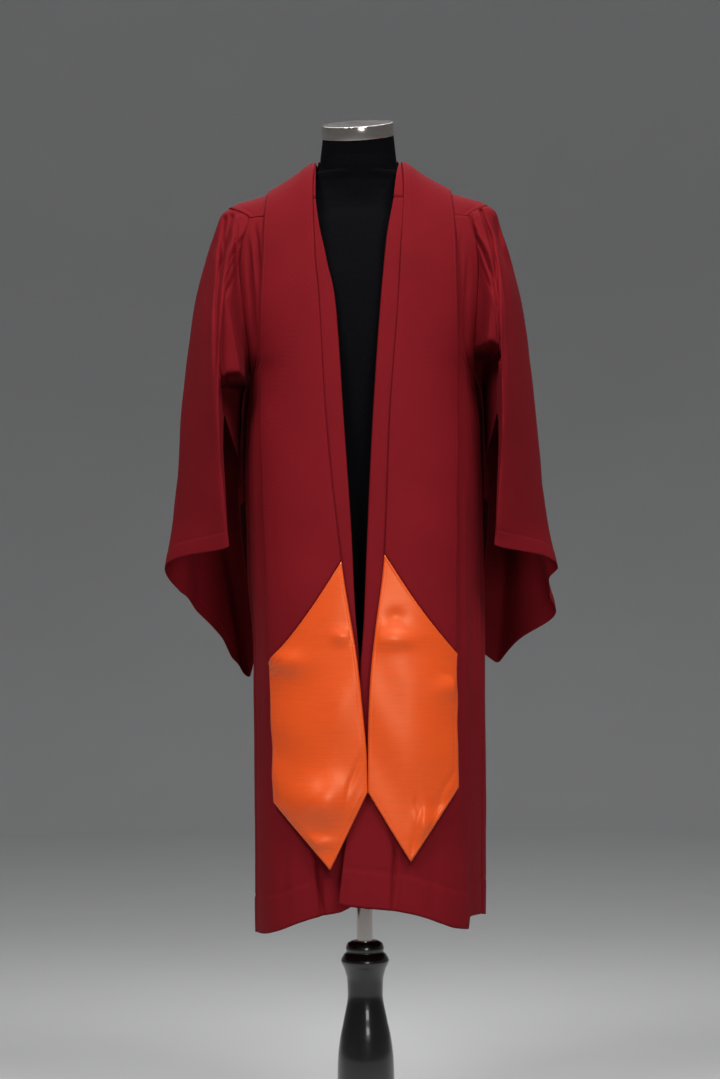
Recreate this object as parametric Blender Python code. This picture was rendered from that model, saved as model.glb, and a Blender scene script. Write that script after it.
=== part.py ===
"""Graduation gown with its stole, worn by a limbless dress form on a turned stand.

Metres, +Z up, the front towards -Y. Left and right are the viewer's. The pole stands on the Z axis and the
base on Z = 0. Every cloth piece is an open grid of points on the garment's middle surface, which a Solidify
modifier turns into a wall.
"""

import math

import bpy
import numpy as np

# Cloth
CLOTH_WALL = 0.002
SATIN_WALL = 0.0018
SEAM = 0.0005
SHOULDER_FALL = 2.67
TOP_OF_RIDGE = 1.595
UNDERARM_HEIGHT = 1.250
HEM_HEIGHT, HEM_RISE_RIGHT = 0.381, 0.012

# Yoke and neck
YOKE_BACK_HEIGHT = 1.434
YOKE_FRONT_AT_NECK, YOKE_FRONT_AT_SLEEVE = 1.517, 1.4915
ARMHOLE_TOP = 1.5125
NECK_HALF_WIDTH = 0.0665
NECK_BACK_SIGMA = 0.190
NECKBAND_RISE, NECKBAND_SIDE_RISE = 0.020, 0.007
NECKBAND_LEAN = 0.0015

# Stole
STOLE_BACK_DROP_INNER, STOLE_BACK_DROP_OUTER = 0.205, 0.352
STOLE_LIFT = 0.0041
STOLE_LIFT_AT_POINT = 0.011

# Dress form and stand
FORM_COVER = 0.0019
FORM_COVER_AT_NECK = 0.0080
SHOULDER_CREST, NECK_FOOT = 1.5200, 1.5650
FORM_BOTTOM = 0.835
PLATE_THICKNESS = 0.008
POLE_RADIUS = 0.0125
POLE_SOCKET_DEPTH = 0.060
FIT_GAP = 0.0003
COLUMN_TOP = 0.360
CAP_RADIUS, CAP_HEIGHT, CAP_RIM = 0.0565, 0.021, 0.0030
CAP_CENTRE = (0.0, -0.016, 1.6215)
CAP_NOD, CAP_TILT = math.radians(14), math.radians(-3)
BASE_RADIUS = 0.200

# Colours
BURGUNDY = (0.150, 0.008, 0.014)
ORANGE = (0.830, 0.130, 0.012)
BLACK_JERSEY = (0.010, 0.010, 0.012)
CHROME = (0.780, 0.770, 0.750)
BLACK_LACQUER = (0.012, 0.011, 0.010)


def smooth_curve(keys, values, at):
    """A curve through the rows that doesn't overshoot them, read at one value or an array of them."""
    keys, values = np.asarray(keys, float), np.asarray(values, float)
    if keys[0] > keys[-1]:
        keys, values = keys[::-1], values[::-1]
    step = np.diff(keys)
    slope = np.diff(values) / step
    inner = np.where(slope[:-1] * slope[1:] > 0, 2 * slope[:-1] * slope[1:] / (slope[:-1] + slope[1:] + 1e-12), 0)
    tangent = np.concatenate([[slope[0]], inner, [slope[-1]]])
    at = np.clip(at, keys[0], keys[-1])
    row = np.clip(np.searchsorted(keys, at, side="right") - 1, 0, len(step) - 1)
    share = (at - keys[row]) / step[row]
    rise, hold = share * share * (3 - 2 * share), share * (1 - share)
    ends = values[row] * (1 - rise) + values[row + 1] * rise
    return ends + step[row] * hold * ((1 - share) * tangent[row] - share * tangent[row + 1])


class Sections:
    """A short table: the first column is the key, and the others are read at any key by name."""

    def __init__(self, columns, *rows):
        self.keys = [row[0] for row in rows]
        self.values = {name: [row[i] for row in rows] for i, name in enumerate(columns.split()) if i}

    def __call__(self, column, at):
        return smooth_curve(self.keys, self.values[column], at)


# The line along the top of the shoulder.
RIDGE = Sections(
    "out_from_centre height",
    (0.000, TOP_OF_RIDGE),
    (0.066, 1.5765),
    (0.100, 1.5575),
    (0.140, 1.5355),
    (0.165, 1.5275),
    (0.190, 1.5200),
    (0.215, 1.5050),
)

# The gown's level sections: two half superellipses, in front and behind. Above the underarm the half width
# runs on past the armhole.
GOWN = Sections(
    "height half_width front_depth back_depth centre_x left_round right_round back_round",
    (1.600, 0.290, 0.150, 0.140, 0.0, 2.7, 2.7, 2.3),
    (1.500, 0.260, 0.150, 0.142, 0.0, 2.7, 2.7, 2.3),
    (1.420, 0.222, 0.150, 0.146, 0.0, 2.7, 2.7, 2.3),
    (1.340, 0.200, 0.150, 0.146, 0.001, 2.7, 2.7, 2.3),
    (1.280, 0.183, 0.151, 0.146, 0.003, 2.7, 2.7, 2.3),
    (1.250, 0.1755, 0.152, 0.146, 0.0038, 2.7, 2.7, 2.3),
    (1.160, 0.1830, 0.153, 0.153, 0.0036, 2.7, 2.7, 2.3),
    (1.050, 0.1855, 0.155, 0.166, 0.0046, 2.8, 2.7, 2.4),
    (0.950, 0.1855, 0.156, 0.180, 0.0060, 3.0, 2.7, 2.5),
    (0.800, 0.1810, 0.158, 0.200, 0.0105, 3.3, 2.7, 2.6),
    (0.550, 0.1815, 0.160, 0.228, 0.0105, 3.8, 2.6, 2.6),
    (0.370, 0.1800, 0.162, 0.245, 0.0095, 4.2, 2.5, 2.6),
)

# Where the armhole seam runs on the front and on the back, out from the gown's centre.
ARMHOLE = Sections(
    "height front_x back_x",
    (ARMHOLE_TOP, 0.2040, 0.2040),
    (1.4915, 0.1705, 0.1960),
    (1.455, 0.1795, 0.1870),
    (1.415, 0.1840, 0.1810),
    (1.361, 0.1810, 0.1770),
    (1.313, 0.1775, 0.1745),
    (1.285, 0.1750, 0.1735),
    (1.250, 0.1755, 0.1755),
)

# The front edges and the stole's edges, out from the centre line towards their own side.
FRONT_EDGE = {
    "left": Sections(
        "height x", (1.60, 0.0680), (1.53, 0.0675), (1.507, 0.0655), (1.471, 0.0605), (1.440, 0.0540),
        (1.410, 0.0480), (1.380, 0.0408), (1.345, 0.0362), (1.18, 0.0262), (0.99, 0.0150), (0.90, 0.0116),
        (0.77, 0.0030), (0.60, -0.0040), (0.42, -0.0080),
    ),
    "right": Sections(
        "height x", (1.60, 0.0645), (1.53, 0.0560), (1.45, 0.0420), (1.18, 0.0190), (0.99, 0.0085), (0.86, 0.0020),
        (0.77, -0.0060), (0.51, -0.0310), (0.42, -0.0420),
    ),
}
FRONT_HEM = {
    "left": Sections("across lift", (0.00, 0.053), (0.30, 0.038), (0.70, 0.017), (0.90, 0.005), (1.00, 0.000)),
    "right": Sections(
        "across lift", (0.00, 0.0620), (0.15, 0.0575), (0.30, 0.0525), (0.45, 0.0460), (0.65, 0.0350),
        (0.90, 0.0140), (1.00, 0.0000),
    ),
}
STOLE = {
    "left": Sections(
        "height inner_x outer_x", (1.578, 0.0690, 0.1300), (1.537, 0.0700, 0.1400), (1.430, 0.0676, 0.1480),
        (1.366, 0.0620, 0.1505), (1.181, 0.0525, 0.1520), (0.955, 0.0304, 0.1440), (0.800, 0.0075, 0.1370),
        (0.745, 0.0020, 0.1350), (0.651, -0.0050, 0.1320), (0.470, -0.0070, 0.1270),
    ),
    "right": Sections(
        "height inner_x outer_x", (1.578, 0.0690, 0.1320), (1.537, 0.0690, 0.1420), (1.430, 0.0633, 0.1490),
        (1.346, 0.0580, 0.1490), (1.181, 0.0445, 0.1480), (0.967, 0.0345, 0.1425), (0.846, 0.0190, 0.1395),
        (0.774, 0.0114, 0.1385), (0.684, 0.0075, 0.1380), (0.470, 0.0062, 0.1370),
    ),
}

# Heights that shape the satin ends: the slanting seam, the two lower corners and the point.
STOLE_END = {
    "left": {"seam_inner": 0.958, "seam_outer": 0.803, "low_inner": 0.609, "low_outer": 0.592, "point": 0.492,
             "point_share": 0.43},
    "right": {"seam_inner": 0.968, "seam_outer": 0.815, "low_inner": 0.609, "low_outer": 0.613, "point": 0.503,
              "point_share": 0.475},
}

# Steps in the fronts near the hem, where the cloth folds over itself: the place at the hem, how far it moves
# across by the top, its width, how far it stands forward on its inner side, and where it dies out.
FRONT_STEPS = {
    "left": Sections("place_at_hem drift width forward top", (-0.064, 0.020, 0.010, -0.008, 0.62)),
    "right": Sections("place_at_hem drift width forward top", (0.047, 0.012, 0.012, 0.009, 0.66)),
}

# Long soft folds down the outer side of each front: their share of the way from the front edge to the side
# seam, width as a share, depth, and the heights between which they show.
FRONT_FOLDS = (
    ("share", "width", "depth", "low", "high"),
    (0.865, 0.035, 0.0050, 0.30, 1.47),
    (0.775, 0.030, 0.0022, 1.10, 1.50),
)

# The sleeve's sections from the armhole to the hem. Each row has the section's outer, front and inner corner as
# (x, y, z), for a sleeve on the right.
SLEEVE = (
    ("share", "outer", "front", "inner"),
    (0.00, (0.2060, 0.002, 1.5115), (0.1855, -0.080, 1.395), (0.1810, 0.000, 1.2500)),
    (0.05, (0.2165, 0.002, 1.5035), (0.1960, -0.092, 1.385), (0.1840, 0.000, 1.2360)),
    (0.12, (0.2290, 0.002, 1.4740), (0.2080, -0.104, 1.365), (0.1865, 0.000, 1.2200)),
    (0.30, (0.2580, 0.000, 1.3600), (0.2160, -0.120, 1.290), (0.1895, 0.000, 1.1850)),
    (0.50, (0.2735, 0.000, 1.2300), (0.2170, -0.126, 1.190), (0.1905, 0.000, 1.1500)),
    (0.75, (0.2880, -0.002, 1.0720), (0.2110, -0.128, 1.070), (0.1910, 0.002, 1.1050)),
    (0.90, (0.3000, -0.002, 0.9900), (0.2060, -0.126, 1.005), (0.1912, 0.004, 1.0800)),
    (1.00, (0.3090, -0.002, 0.9440), (0.2030, -0.124, 0.982), (0.1915, 0.006, 1.0650)),
)

# The back corner, where the hem runs down to a point, and how far the outer corner stands out from the table.
SLEEVE_BACK = {
    "left": Sections(
        "share x y z outer",
        (0.00, 0.1795, 0.094, 1.385, 0.000),
        (0.05, 0.1960, 0.106, 1.375, 0.000),
        (0.12, 0.2120, 0.118, 1.350, -0.002),
        (0.30, 0.2320, 0.136, 1.265, 0.001),
        (0.50, 0.2330, 0.144, 1.135, 0.003),
        (0.75, 0.2150, 0.146, 0.960, 0.002),
        (0.90, 0.1960, 0.140, 0.845, 0.000),
        (1.00, 0.1835, 0.134, 0.770, 0.000),
    ),
    "right": Sections(
        "share x y z outer",
        (0.00, 0.1795, 0.094, 1.385, 0.000),
        (0.05, 0.1960, 0.106, 1.375, -0.001),
        (0.12, 0.2120, 0.118, 1.350, -0.004),
        (0.30, 0.2320, 0.136, 1.265, -0.004),
        (0.50, 0.2360, 0.144, 1.135, -0.002),
        (0.75, 0.2330, 0.146, 0.965, -0.003),
        (0.90, 0.2260, 0.140, 0.855, -0.003),
        (1.00, 0.2200, 0.134, 0.790, -0.001),
    ),
}

# Where the sleeve's mouth cuts it off, by corner of its section, and the fold under the arm in front of it.
SLEEVE_MOUTH = {
    "left": Sections(
        "corner end", (1.00, 1.00), (1.13, 0.50), (1.50, 0.62), (1.80, 0.82), (2.05, 1.00), (3.31, 1.00),
        (3.38, 0.968), (3.50, 0.957), (3.62, 0.968), (3.78, 1.00),
    ),
    "right": Sections(
        "corner end", (1.00, 1.00), (1.13, 0.50), (1.50, 0.62), (1.80, 0.82), (2.05, 1.00), (3.05, 1.00),
        (3.20, 0.992), (3.60, 0.985), (3.75, 1.00),
    ),
}
UNDERARM_FOLD = {"left": 1.2427, "right": 1.2880}
UNDERARM_FOLD_Y = -0.090
SLEEVE_PULL = {"outer": 0.85, "front": 0.55, "inner": 0.75, "back": 0.45}
BEHIND_GAP = 0.0085
SLEEVE_JOINS_BY = 0.16
ARMHOLE_GAP, UNDERARM_STANDOFF = 0.0016, 0.0020

# Creases of the sleeves, which start in the gathers. Corners count 0 outer, 1 front, 2 inner, 3 back and 4 outer
# again: where each crease starts and ends, its width in corners, depth, and the shares of the sleeve's length it
# runs between.
SLEEVE_CREASES = (
    ("from", "to", "width", "depth", "start", "end"),
    (0.13, 0.22, 0.085, 0.0045, 0.03, 0.26),
    (0.34, 0.52, 0.095, 0.0090, 0.03, 0.46),
    (0.56, 0.88, 0.095, 0.0075, 0.03, 0.60),
    (0.78, 1.14, 0.080, 0.0040, 0.03, 0.28),
    (3.87, 3.76, 0.085, 0.0060, 0.03, 0.38),
    (3.66, 3.48, 0.095, 0.0080, 0.03, 0.52),
    (3.45, 3.24, 0.090, 0.0060, 0.03, 0.36),
    (3.26, 3.02, 0.080, 0.0040, 0.03, 0.26),
)

# Waves that the sleeve hangs in lower down: their corner and width, how far they stand out sideways, and the
# share of the sleeve's length at which they start.
SLEEVE_WAVES = {
    "left": (("corner", "width", "out", "start"), (3.76, 0.09, -0.007, 0.50), (3.53, 0.09, 0.008, 0.55),
             (3.28, 0.10, -0.008, 0.55), (2.50, 0.30, -0.004, 0.05)),
    "right": (("corner", "width", "out", "start"), (3.86, 0.08, -0.010, 0.60), (3.52, 0.13, 0.037, 0.70),
              (2.76, 0.18, -0.022, 0.35), (2.40, 0.25, -0.010, 0.05)),
}

# The flutes of the gathered back.
FLUTES = 13
FLUTE_DEPTH_AT_YOKE, FLUTE_DEPTH_AT_HEM = 0.0030, 0.0165
FLUTE_DRIFT, FLUTE_UNEVEN = 0.012, 0.28

# The dress form's level sections.
FORM = Sections(
    "height half_width front_depth back_depth centre_y roundness",
    (0.835, 0.146, 0.100, 0.104, 0.000, 2.2),
    (0.900, 0.154, 0.108, 0.118, 0.000, 2.2),
    (1.000, 0.149, 0.110, 0.116, 0.000, 2.2),
    (1.100, 0.142, 0.108, 0.108, 0.000, 2.2),
    (1.200, 0.150, 0.114, 0.112, 0.000, 2.2),
    (1.300, 0.161, 0.120, 0.120, 0.000, 2.2),
    (1.380, 0.168, 0.112, 0.118, 0.000, 2.2),
    (1.450, 0.173, 0.090, 0.100, 0.000, 2.2),
    (1.490, 0.176, 0.070, 0.078, 0.000, 2.1),
    (1.510, 0.178, 0.054, 0.060, 0.000, 1.9),
    (1.522, 0.172, 0.052, 0.054, 0.000, 1.5),
    (1.535, 0.130, 0.052, 0.054, -0.001, 1.4),
    (1.550, 0.088, 0.052, 0.054, -0.002, 1.6),
    (1.565, 0.066, 0.054, 0.055, -0.004, 1.9),
    (1.575, 0.061, 0.055, 0.055, -0.006, 2.0),
    (1.640, 0.056, 0.056, 0.056, -0.016, 2.0),
)
FORM_RING_HEIGHTS = (
    0.835, 0.870, 0.920, 0.980, 1.050, 1.120, 1.190, 1.250, 1.310, 1.360, 1.410, 1.450, 1.480, 1.500, 1.512,
    1.519, 1.526, 1.534, 1.542, 1.550, 1.558, 1.566, 1.575, 1.590,
)

# The stand's turned column: its radius at each height.
COLUMN = Sections(
    "height radius",
    (0.360, 0.0210), (0.357, 0.0270), (0.348, 0.0300), (0.343, 0.0292), (0.339, 0.0330), (0.329, 0.0377),
    (0.316, 0.0325), (0.300, 0.0285), (0.276, 0.0277), (0.236, 0.0343), (0.206, 0.0403), (0.176, 0.0437),
    (0.143, 0.0447), (0.110, 0.0420), (0.085, 0.0330), (0.072, 0.0265), (0.062, 0.0260), (0.054, 0.0330),
    (0.048, 0.0400), (0.0403, 0.0415),
)
COLUMN_RING_HEIGHTS = (
    0.360, 0.357, 0.348, 0.343, 0.339, 0.334, 0.329, 0.322, 0.316, 0.300, 0.276, 0.256, 0.236, 0.206, 0.176, 0.143,
    0.120, 0.100, 0.085, 0.072, 0.062, 0.054, 0.048, 0.0403,
)

# The round turned base: its radius at each height.
BASE_PROFILE = (
    ("height", "radius"),
    (0.000, BASE_RADIUS - 0.0015),
    (0.0015, BASE_RADIUS),
    (0.0130, BASE_RADIUS),
    (0.0165, 0.1965),
    (0.0180, 0.1900),
    (0.0190, 0.1780),
    (0.0260, 0.1100),
    (0.0310, 0.0720),
    (0.0360, 0.0560),
    (0.0400, 0.0520),
)


def ridge_height(x):
    return RIDGE("height", np.abs(x))


def gown_round(side, height, back):
    """How square the level section is on this side: 2 is an ellipse."""
    front = np.where(np.asarray(side) < 0, GOWN("left_round", height), GOWN("right_round", height))
    return GOWN("back_round", height) + 0 * front if back else front


def hem_height(x):
    """The side and back of the hem, which rises a little past the right front's outer fold."""
    return HEM_HEIGHT + HEM_RISE_RIGHT * smooth_step((x - 0.156) / 0.014)


def gown_point(angle, height, back):
    """The gown's middle surface on the level section at this height. The angle runs from 0 at the centre to a
    quarter turn at the side seam, and is negative on the left."""
    roundness = gown_round(angle, height, back)
    half_width, centre = GOWN("half_width", height), GOWN("centre_x", height)
    x = centre + half_width * np.sign(angle) * np.abs(np.sin(angle)) ** (2 / roundness)
    drop = np.maximum(ridge_height(x) - height, 0)
    depth = GOWN("back_depth" if back else "front_depth", height)
    y = depth * np.tanh(SHOULDER_FALL * np.sqrt(drop)) * np.abs(np.cos(angle))
    return np.stack([x, y if back else -y, height + 0 * x], axis=-1)


def angle_at(x, height, back):
    """The angle that gown_point needs to come out at x."""
    share = (x - GOWN("centre_x", height)) / GOWN("half_width", height)
    roundness = gown_round(share, height, back)
    return np.sign(share) * np.arcsin(np.minimum(np.abs(share), 1) ** (roundness / 2))


def shoulder_point(x, sigma):
    """The same surface near the shoulders: sigma is the square root of the drop below the ridge, and is
    negative in front and positive behind."""
    x, sigma = np.broadcast_arrays(np.asarray(x, float), np.asarray(sigma, float))
    height = ridge_height(x) - sigma**2
    front = gown_point(angle_at(x, height, False), height, False)
    behind = gown_point(angle_at(x, height, True), height, True)
    return np.where((sigma > 0)[..., None], behind, front)


def sigma_at(x, height):
    return np.sqrt(np.maximum(ridge_height(x) - height, 0))


def smooth_step(value):
    value = np.clip(value, 0, 1)
    return value * value * (3 - 2 * value)


def spaced(line, count):
    """The line's points read again at even steps along it."""
    length = np.concatenate([[0], np.cumsum(np.linalg.norm(np.diff(line, axis=0), axis=1))])
    at = np.linspace(0, length[-1], count)
    return np.stack([np.interp(at, length, line[:, i]) for i in range(line.shape[1])], axis=1)


def normals_of(grid, wrap=False):
    """The unit normal at each point of a grid of rows and columns."""
    down = np.gradient(grid, axis=0)
    across = np.gradient(np.concatenate([grid[:, -1:], grid, grid[:, :1]], axis=1), axis=1)[:, 1:-1] if wrap else (
        np.gradient(grid, axis=1)
    )
    normal = np.cross(across, down)
    return normal / np.maximum(np.linalg.norm(normal, axis=-1, keepdims=True), 1e-12)


def material(name, colour, roughness, metallic=0.0, sheen=0.0):
    made = bpy.data.materials.new(name)
    made.use_nodes = True
    shader = made.node_tree.nodes["Principled BSDF"]
    shader.inputs["Base Color"].default_value = (*colour, 1)
    shader.inputs["Roughness"].default_value = roughness
    shader.inputs["Metallic"].default_value = metallic
    shader.inputs["Sheen Weight"].default_value = sheen
    made.diffuse_color = (*colour, 1)
    return made


def link(name, mesh, finish):
    mesh.materials.append(finish)
    mesh.shade_smooth()
    mesh.set_sharp_from_angle(angle=math.radians(40))
    made = bpy.data.objects.new(name, mesh)
    bpy.context.scene.collection.objects.link(made)
    return made


def cloth(name, grid, finish, wall=CLOTH_WALL, wrap=False):
    """A wall of cloth on a grid of points. With wrap, its last column joins its first."""
    rows, columns = grid.shape[:2]
    across = columns if wrap else columns - 1
    faces = [
        (r * columns + c, (r + 1) * columns + c, (r + 1) * columns + (c + 1) % columns, r * columns + (c + 1) % columns)
        for r in range(rows - 1)
        for c in range(across)
    ]
    mesh = bpy.data.meshes.new(name)
    mesh.from_pydata([tuple(point) for point in grid.reshape(-1, 3)], [], faces)
    made = link(name, mesh, finish)
    solidify = made.modifiers.new("wall", "SOLIDIFY")
    solidify.thickness = wall
    solidify.offset = 0
    return made


def solid(name, rings, finish):
    """A closed solid skinned over rings of points, with flat ends."""
    rings = np.asarray(rings)
    count, sides = rings.shape[:2]
    faces = [
        (r * sides + c, r * sides + (c + 1) % sides, (r + 1) * sides + (c + 1) % sides, (r + 1) * sides + c)
        for r in range(count - 1)
        for c in range(sides)
    ]
    faces.append(tuple(range(sides))[::-1])
    faces.append(tuple((count - 1) * sides + c for c in range(sides)))
    mesh = bpy.data.meshes.new(name)
    mesh.from_pydata([tuple(point) for point in rings.reshape(-1, 3)], [], faces)
    return link(name, mesh, finish)


def armhole_angle(side, height, back):
    x = GOWN("centre_x", height) + side * ARMHOLE("back_x" if back else "front_x", height)
    return np.where(height > UNDERARM_HEIGHT, angle_at(x, height, back), side * math.pi / 2)


def front_fold_depth(share, height):
    """How far the long folds press the front in."""
    pressed = 0
    for centre, width, depth, low, high in FRONT_FOLDS[1:]:
        shown = smooth_step((height - low) / 0.15) * smooth_step((high - height) / 0.12)
        pressed = pressed + depth * np.exp(-(((share - centre) / width) ** 2)) * shown
    return pressed


def front_step(name, x, height):
    """How far a fold near the hem brings the front's inner part forward."""
    steps = FRONT_STEPS[name]
    place, top = steps.keys[0], steps.values["top"][0]
    across = x - place + steps.values["drift"][0] * (height - HEM_HEIGHT) / (top - HEM_HEIGHT)
    inner = 1 - smooth_step(0.5 + across / steps.values["width"][0] * (1 if name == "right" else -1))
    return steps.values["forward"][0] * inner * smooth_step((top - height) / (top - HEM_HEIGHT))


def yoke_corner(name):
    """Where the yoke's front seam meets the free edge of this front, as x and sigma."""
    x = FRONT_EDGE[name]("x", YOKE_FRONT_AT_NECK)
    for _ in range(6):
        x = FRONT_EDGE[name]("x", front_seam_height(x))
    return x, -sigma_at(x, front_seam_height(x))


def yoke_front_seam():
    """The two ends of the yoke's front seam, as x and sigma."""
    neck_x = FRONT_EDGE["right"]("x", YOKE_FRONT_AT_NECK)
    sleeve_x = ARMHOLE("front_x", YOKE_FRONT_AT_SLEEVE)
    return (neck_x, -sigma_at(neck_x, YOKE_FRONT_AT_NECK)), (sleeve_x, -sigma_at(sleeve_x, YOKE_FRONT_AT_SLEEVE))


def front_seam_height(x):
    """How high the yoke's front seam runs at x."""
    (neck_x, neck_sigma), (sleeve_x, sleeve_sigma) = yoke_front_seam()
    sigma = np.interp(np.abs(x), [neck_x, sleeve_x], [neck_sigma, sleeve_sigma])
    return ridge_height(x) - sigma**2


def front(name, finish, rows=17, columns=16, fine=160):
    """One front, from the yoke's seam to the hem and from its free edge to the armhole and side seam."""
    side = -1 if name == "left" else 1
    across = np.linspace(0, 1, fine)
    top = YOKE_FRONT_AT_NECK + (YOKE_FRONT_AT_SLEEVE - YOKE_FRONT_AT_NECK) * across
    for _ in range(8):
        first, last = angle_at(side * FRONT_EDGE[name]("x", top), top, False), armhole_angle(side, top, False)
        top = front_seam_height(gown_point(first + (last - first) * across, top, False)[:, 0]) - 2 * SEAM
    first = angle_at(side * FRONT_EDGE[name]("x", HEM_HEIGHT), HEM_HEIGHT, False)
    hem_x = gown_point(first + (side * math.pi / 2 - first) * across, HEM_HEIGHT, False)[:, 0]
    grid = []
    for down in np.linspace(0, 1, rows) ** 1.5:
        hem = hem_height(hem_x) + FRONT_HEM[name]("lift", across)
        height = top + (hem - top) * down
        edge = angle_at(side * FRONT_EDGE[name]("x", height), height, False)
        end = armhole_angle(side, height, False)
        end = end - side * SEAM / GOWN("half_width", height)
        line = gown_point(edge + (end - edge) * across, height, False)
        grid.append(spaced(line, columns))
    grid = np.array(grid)
    share = np.linspace(0, 1, columns)[None, :]
    height = grid[..., 2]
    outward = -side * normals_of(grid)
    grid = grid - outward * front_fold_depth(share, height)[..., None]
    grid[..., 1] -= front_step(name, grid[..., 0], height)
    if name == "left":
        under = smooth_step((0.90 - height) / 0.14) * smooth_step((grid[..., 0] + 0.110) / 0.05)
        grid[..., 1] += 0.0085 * under
    return cloth(f"front_{name}", grid, finish)


def flute_depth(share, down):
    """How far the back's gathers stand out from its middle surface."""
    place = share + FLUTE_DRIFT * np.sin(2 * math.pi * (2.3 * share + 0.35 * down))
    size = 1 + FLUTE_UNEVEN * np.sin(2 * math.pi * (3.1 * share + 0.2)) * down
    ends = smooth_step(share / 0.05) * smooth_step((1 - share) / 0.05)
    inward = 1 - smooth_step(np.minimum(share, 1 - share) / 0.26)
    depth = FLUTE_DEPTH_AT_YOKE + (FLUTE_DEPTH_AT_HEM - FLUTE_DEPTH_AT_YOKE) * smooth_step(0.15 + 0.85 * down)
    wave = -np.cos(2 * math.pi * FLUTES * place) - inward
    return depth * size * ends * smooth_step(down / 0.02) * wave


def back(finish, rows=13, columns=62, fine=400):
    across = np.linspace(0, 1, fine)
    downs = np.linspace(0, 1, rows) ** 1.2
    grid = []
    for down in downs:
        hem = hem_height(gown_point(math.pi * (across - 0.5), HEM_HEIGHT, True)[:, 0])
        height = (YOKE_BACK_HEIGHT - SEAM) * (1 - down) + hem * down
        left, right = armhole_angle(-1, height, True), armhole_angle(1, height, True)
        inset = SEAM / GOWN("half_width", height)
        line = gown_point(left + inset + (right - left - 2 * inset) * across, height, True)
        grid.append(spaced(line, columns))
    grid = np.array(grid)
    share = np.linspace(0, 1, columns)[None, :]
    grid = grid - normals_of(grid) * -flute_depth(share, downs[:, None])[..., None]
    return cloth("back", grid, finish)


def yoke(finish, seam_columns=9, back_columns=5, front_columns=4, rows=6):
    """The back yoke with both shoulders, as rays from the neck out to its seams."""
    corner = ARMHOLE("back_x", YOKE_BACK_HEIGHT)
    armhole_back = np.linspace(YOKE_BACK_HEIGHT, ARMHOLE_TOP, back_columns + 1)[1:]
    armhole_front = np.linspace(ARMHOLE_TOP, YOKE_FRONT_AT_SLEEVE, front_columns + 1)[1:]
    seam_x = np.linspace(0, corner, seam_columns)
    outer = [(x, sigma_at(x, YOKE_BACK_HEIGHT)) for x in seam_x]
    outer += [(ARMHOLE("back_x", z), sigma_at(ARMHOLE("back_x", z), z)) for z in armhole_back]
    outer += [(ARMHOLE("front_x", z), -sigma_at(ARMHOLE("front_x", z), z)) for z in armhole_front]
    turns = np.linspace(0, math.pi / 2, seam_columns + back_columns)
    neck = [(NECK_HALF_WIDTH * math.sin(a), NECK_BACK_SIGMA * math.cos(a)) for a in turns]
    halves = []
    for name in ("left", "right"):
        edge_x, edge_sigma = yoke_corner(name)
        down = np.linspace(0, 1, front_columns + 1)[1:]
        inner = neck + [(NECK_HALF_WIDTH + (edge_x - NECK_HALF_WIDTH) * share, edge_sigma * share) for share in down]
        shares = np.linspace(0, 1, rows)[:, None, None]
        flat = np.array(inner)[None] * (1 - shares) + np.array(outer)[None] * shares
        halves.append(shoulder_point(flat[..., 0], flat[..., 1]))
    left = halves[0][:, :0:-1] * np.array([-1, 1, 1])
    return cloth("yoke", np.concatenate([left, halves[1]], axis=1), finish)


def neckband_rise(turns):
    """How high the band stands, at the back and less at the sides."""
    return NECKBAND_SIDE_RISE + (NECKBAND_RISE - NECKBAND_SIDE_RISE) * np.cos(turns) ** 0.7


def neckband(finish, columns=25):
    """The band that stands inside the neck edge, between its two short seams in front."""
    turns = np.linspace(-math.pi / 2, math.pi / 2, columns)
    rows = []
    for rise in (0.0, 0.5, 1.0):
        x = (NECK_HALF_WIDTH - 0.0027 - NECKBAND_LEAN * rise) * np.sin(turns)
        y = 0.0615 * np.cos(turns) - 0.004 * rise
        foot = shoulder_point(NECK_HALF_WIDTH * np.sin(turns), NECK_BACK_SIGMA * np.cos(turns))[:, 2]
        rows.append(np.stack([x, y, foot - 0.004 + neckband_rise(turns) * rise], axis=1))
    return cloth("neckband", np.array(rows), finish, wall=0.0018)


def stole_surface(name, across, sigma):
    """A point of the stole: across is 0 at the neck and 1 at the outer edge, sigma as for the shoulder."""
    side, edges = (-1 if name == "left" else 1), STOLE[name]
    height = 1.55 - sigma**2
    for _ in range(12):
        x = edges("inner_x", height) * (1 - across) + edges("outer_x", height) * across
        height = ridge_height(x) - sigma**2
    return shoulder_point(side * x, sigma)


def moved_out(grid, lift, side):
    """A grid moved out from the gown, so that it lies on it."""
    return grid + side * normals_of(grid) * np.asarray(lift)[..., None]


def end_sigma(name, across, height):
    """The sigma at which this share of the stole's width reaches a height."""
    edges = STOLE[name]
    x = edges("inner_x", height) * (1 - across) + edges("outer_x", height) * across
    return -np.sqrt(np.maximum(ridge_height(x) - height, 0))


def hanging_lift(height):
    """The stole lies on the shoulder and chest, and hangs a little clear of the gown lower down."""
    return STOLE_LIFT + (STOLE_LIFT_AT_POINT - STOLE_LIFT) * smooth_step((1.25 - height) / 0.75)


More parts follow.
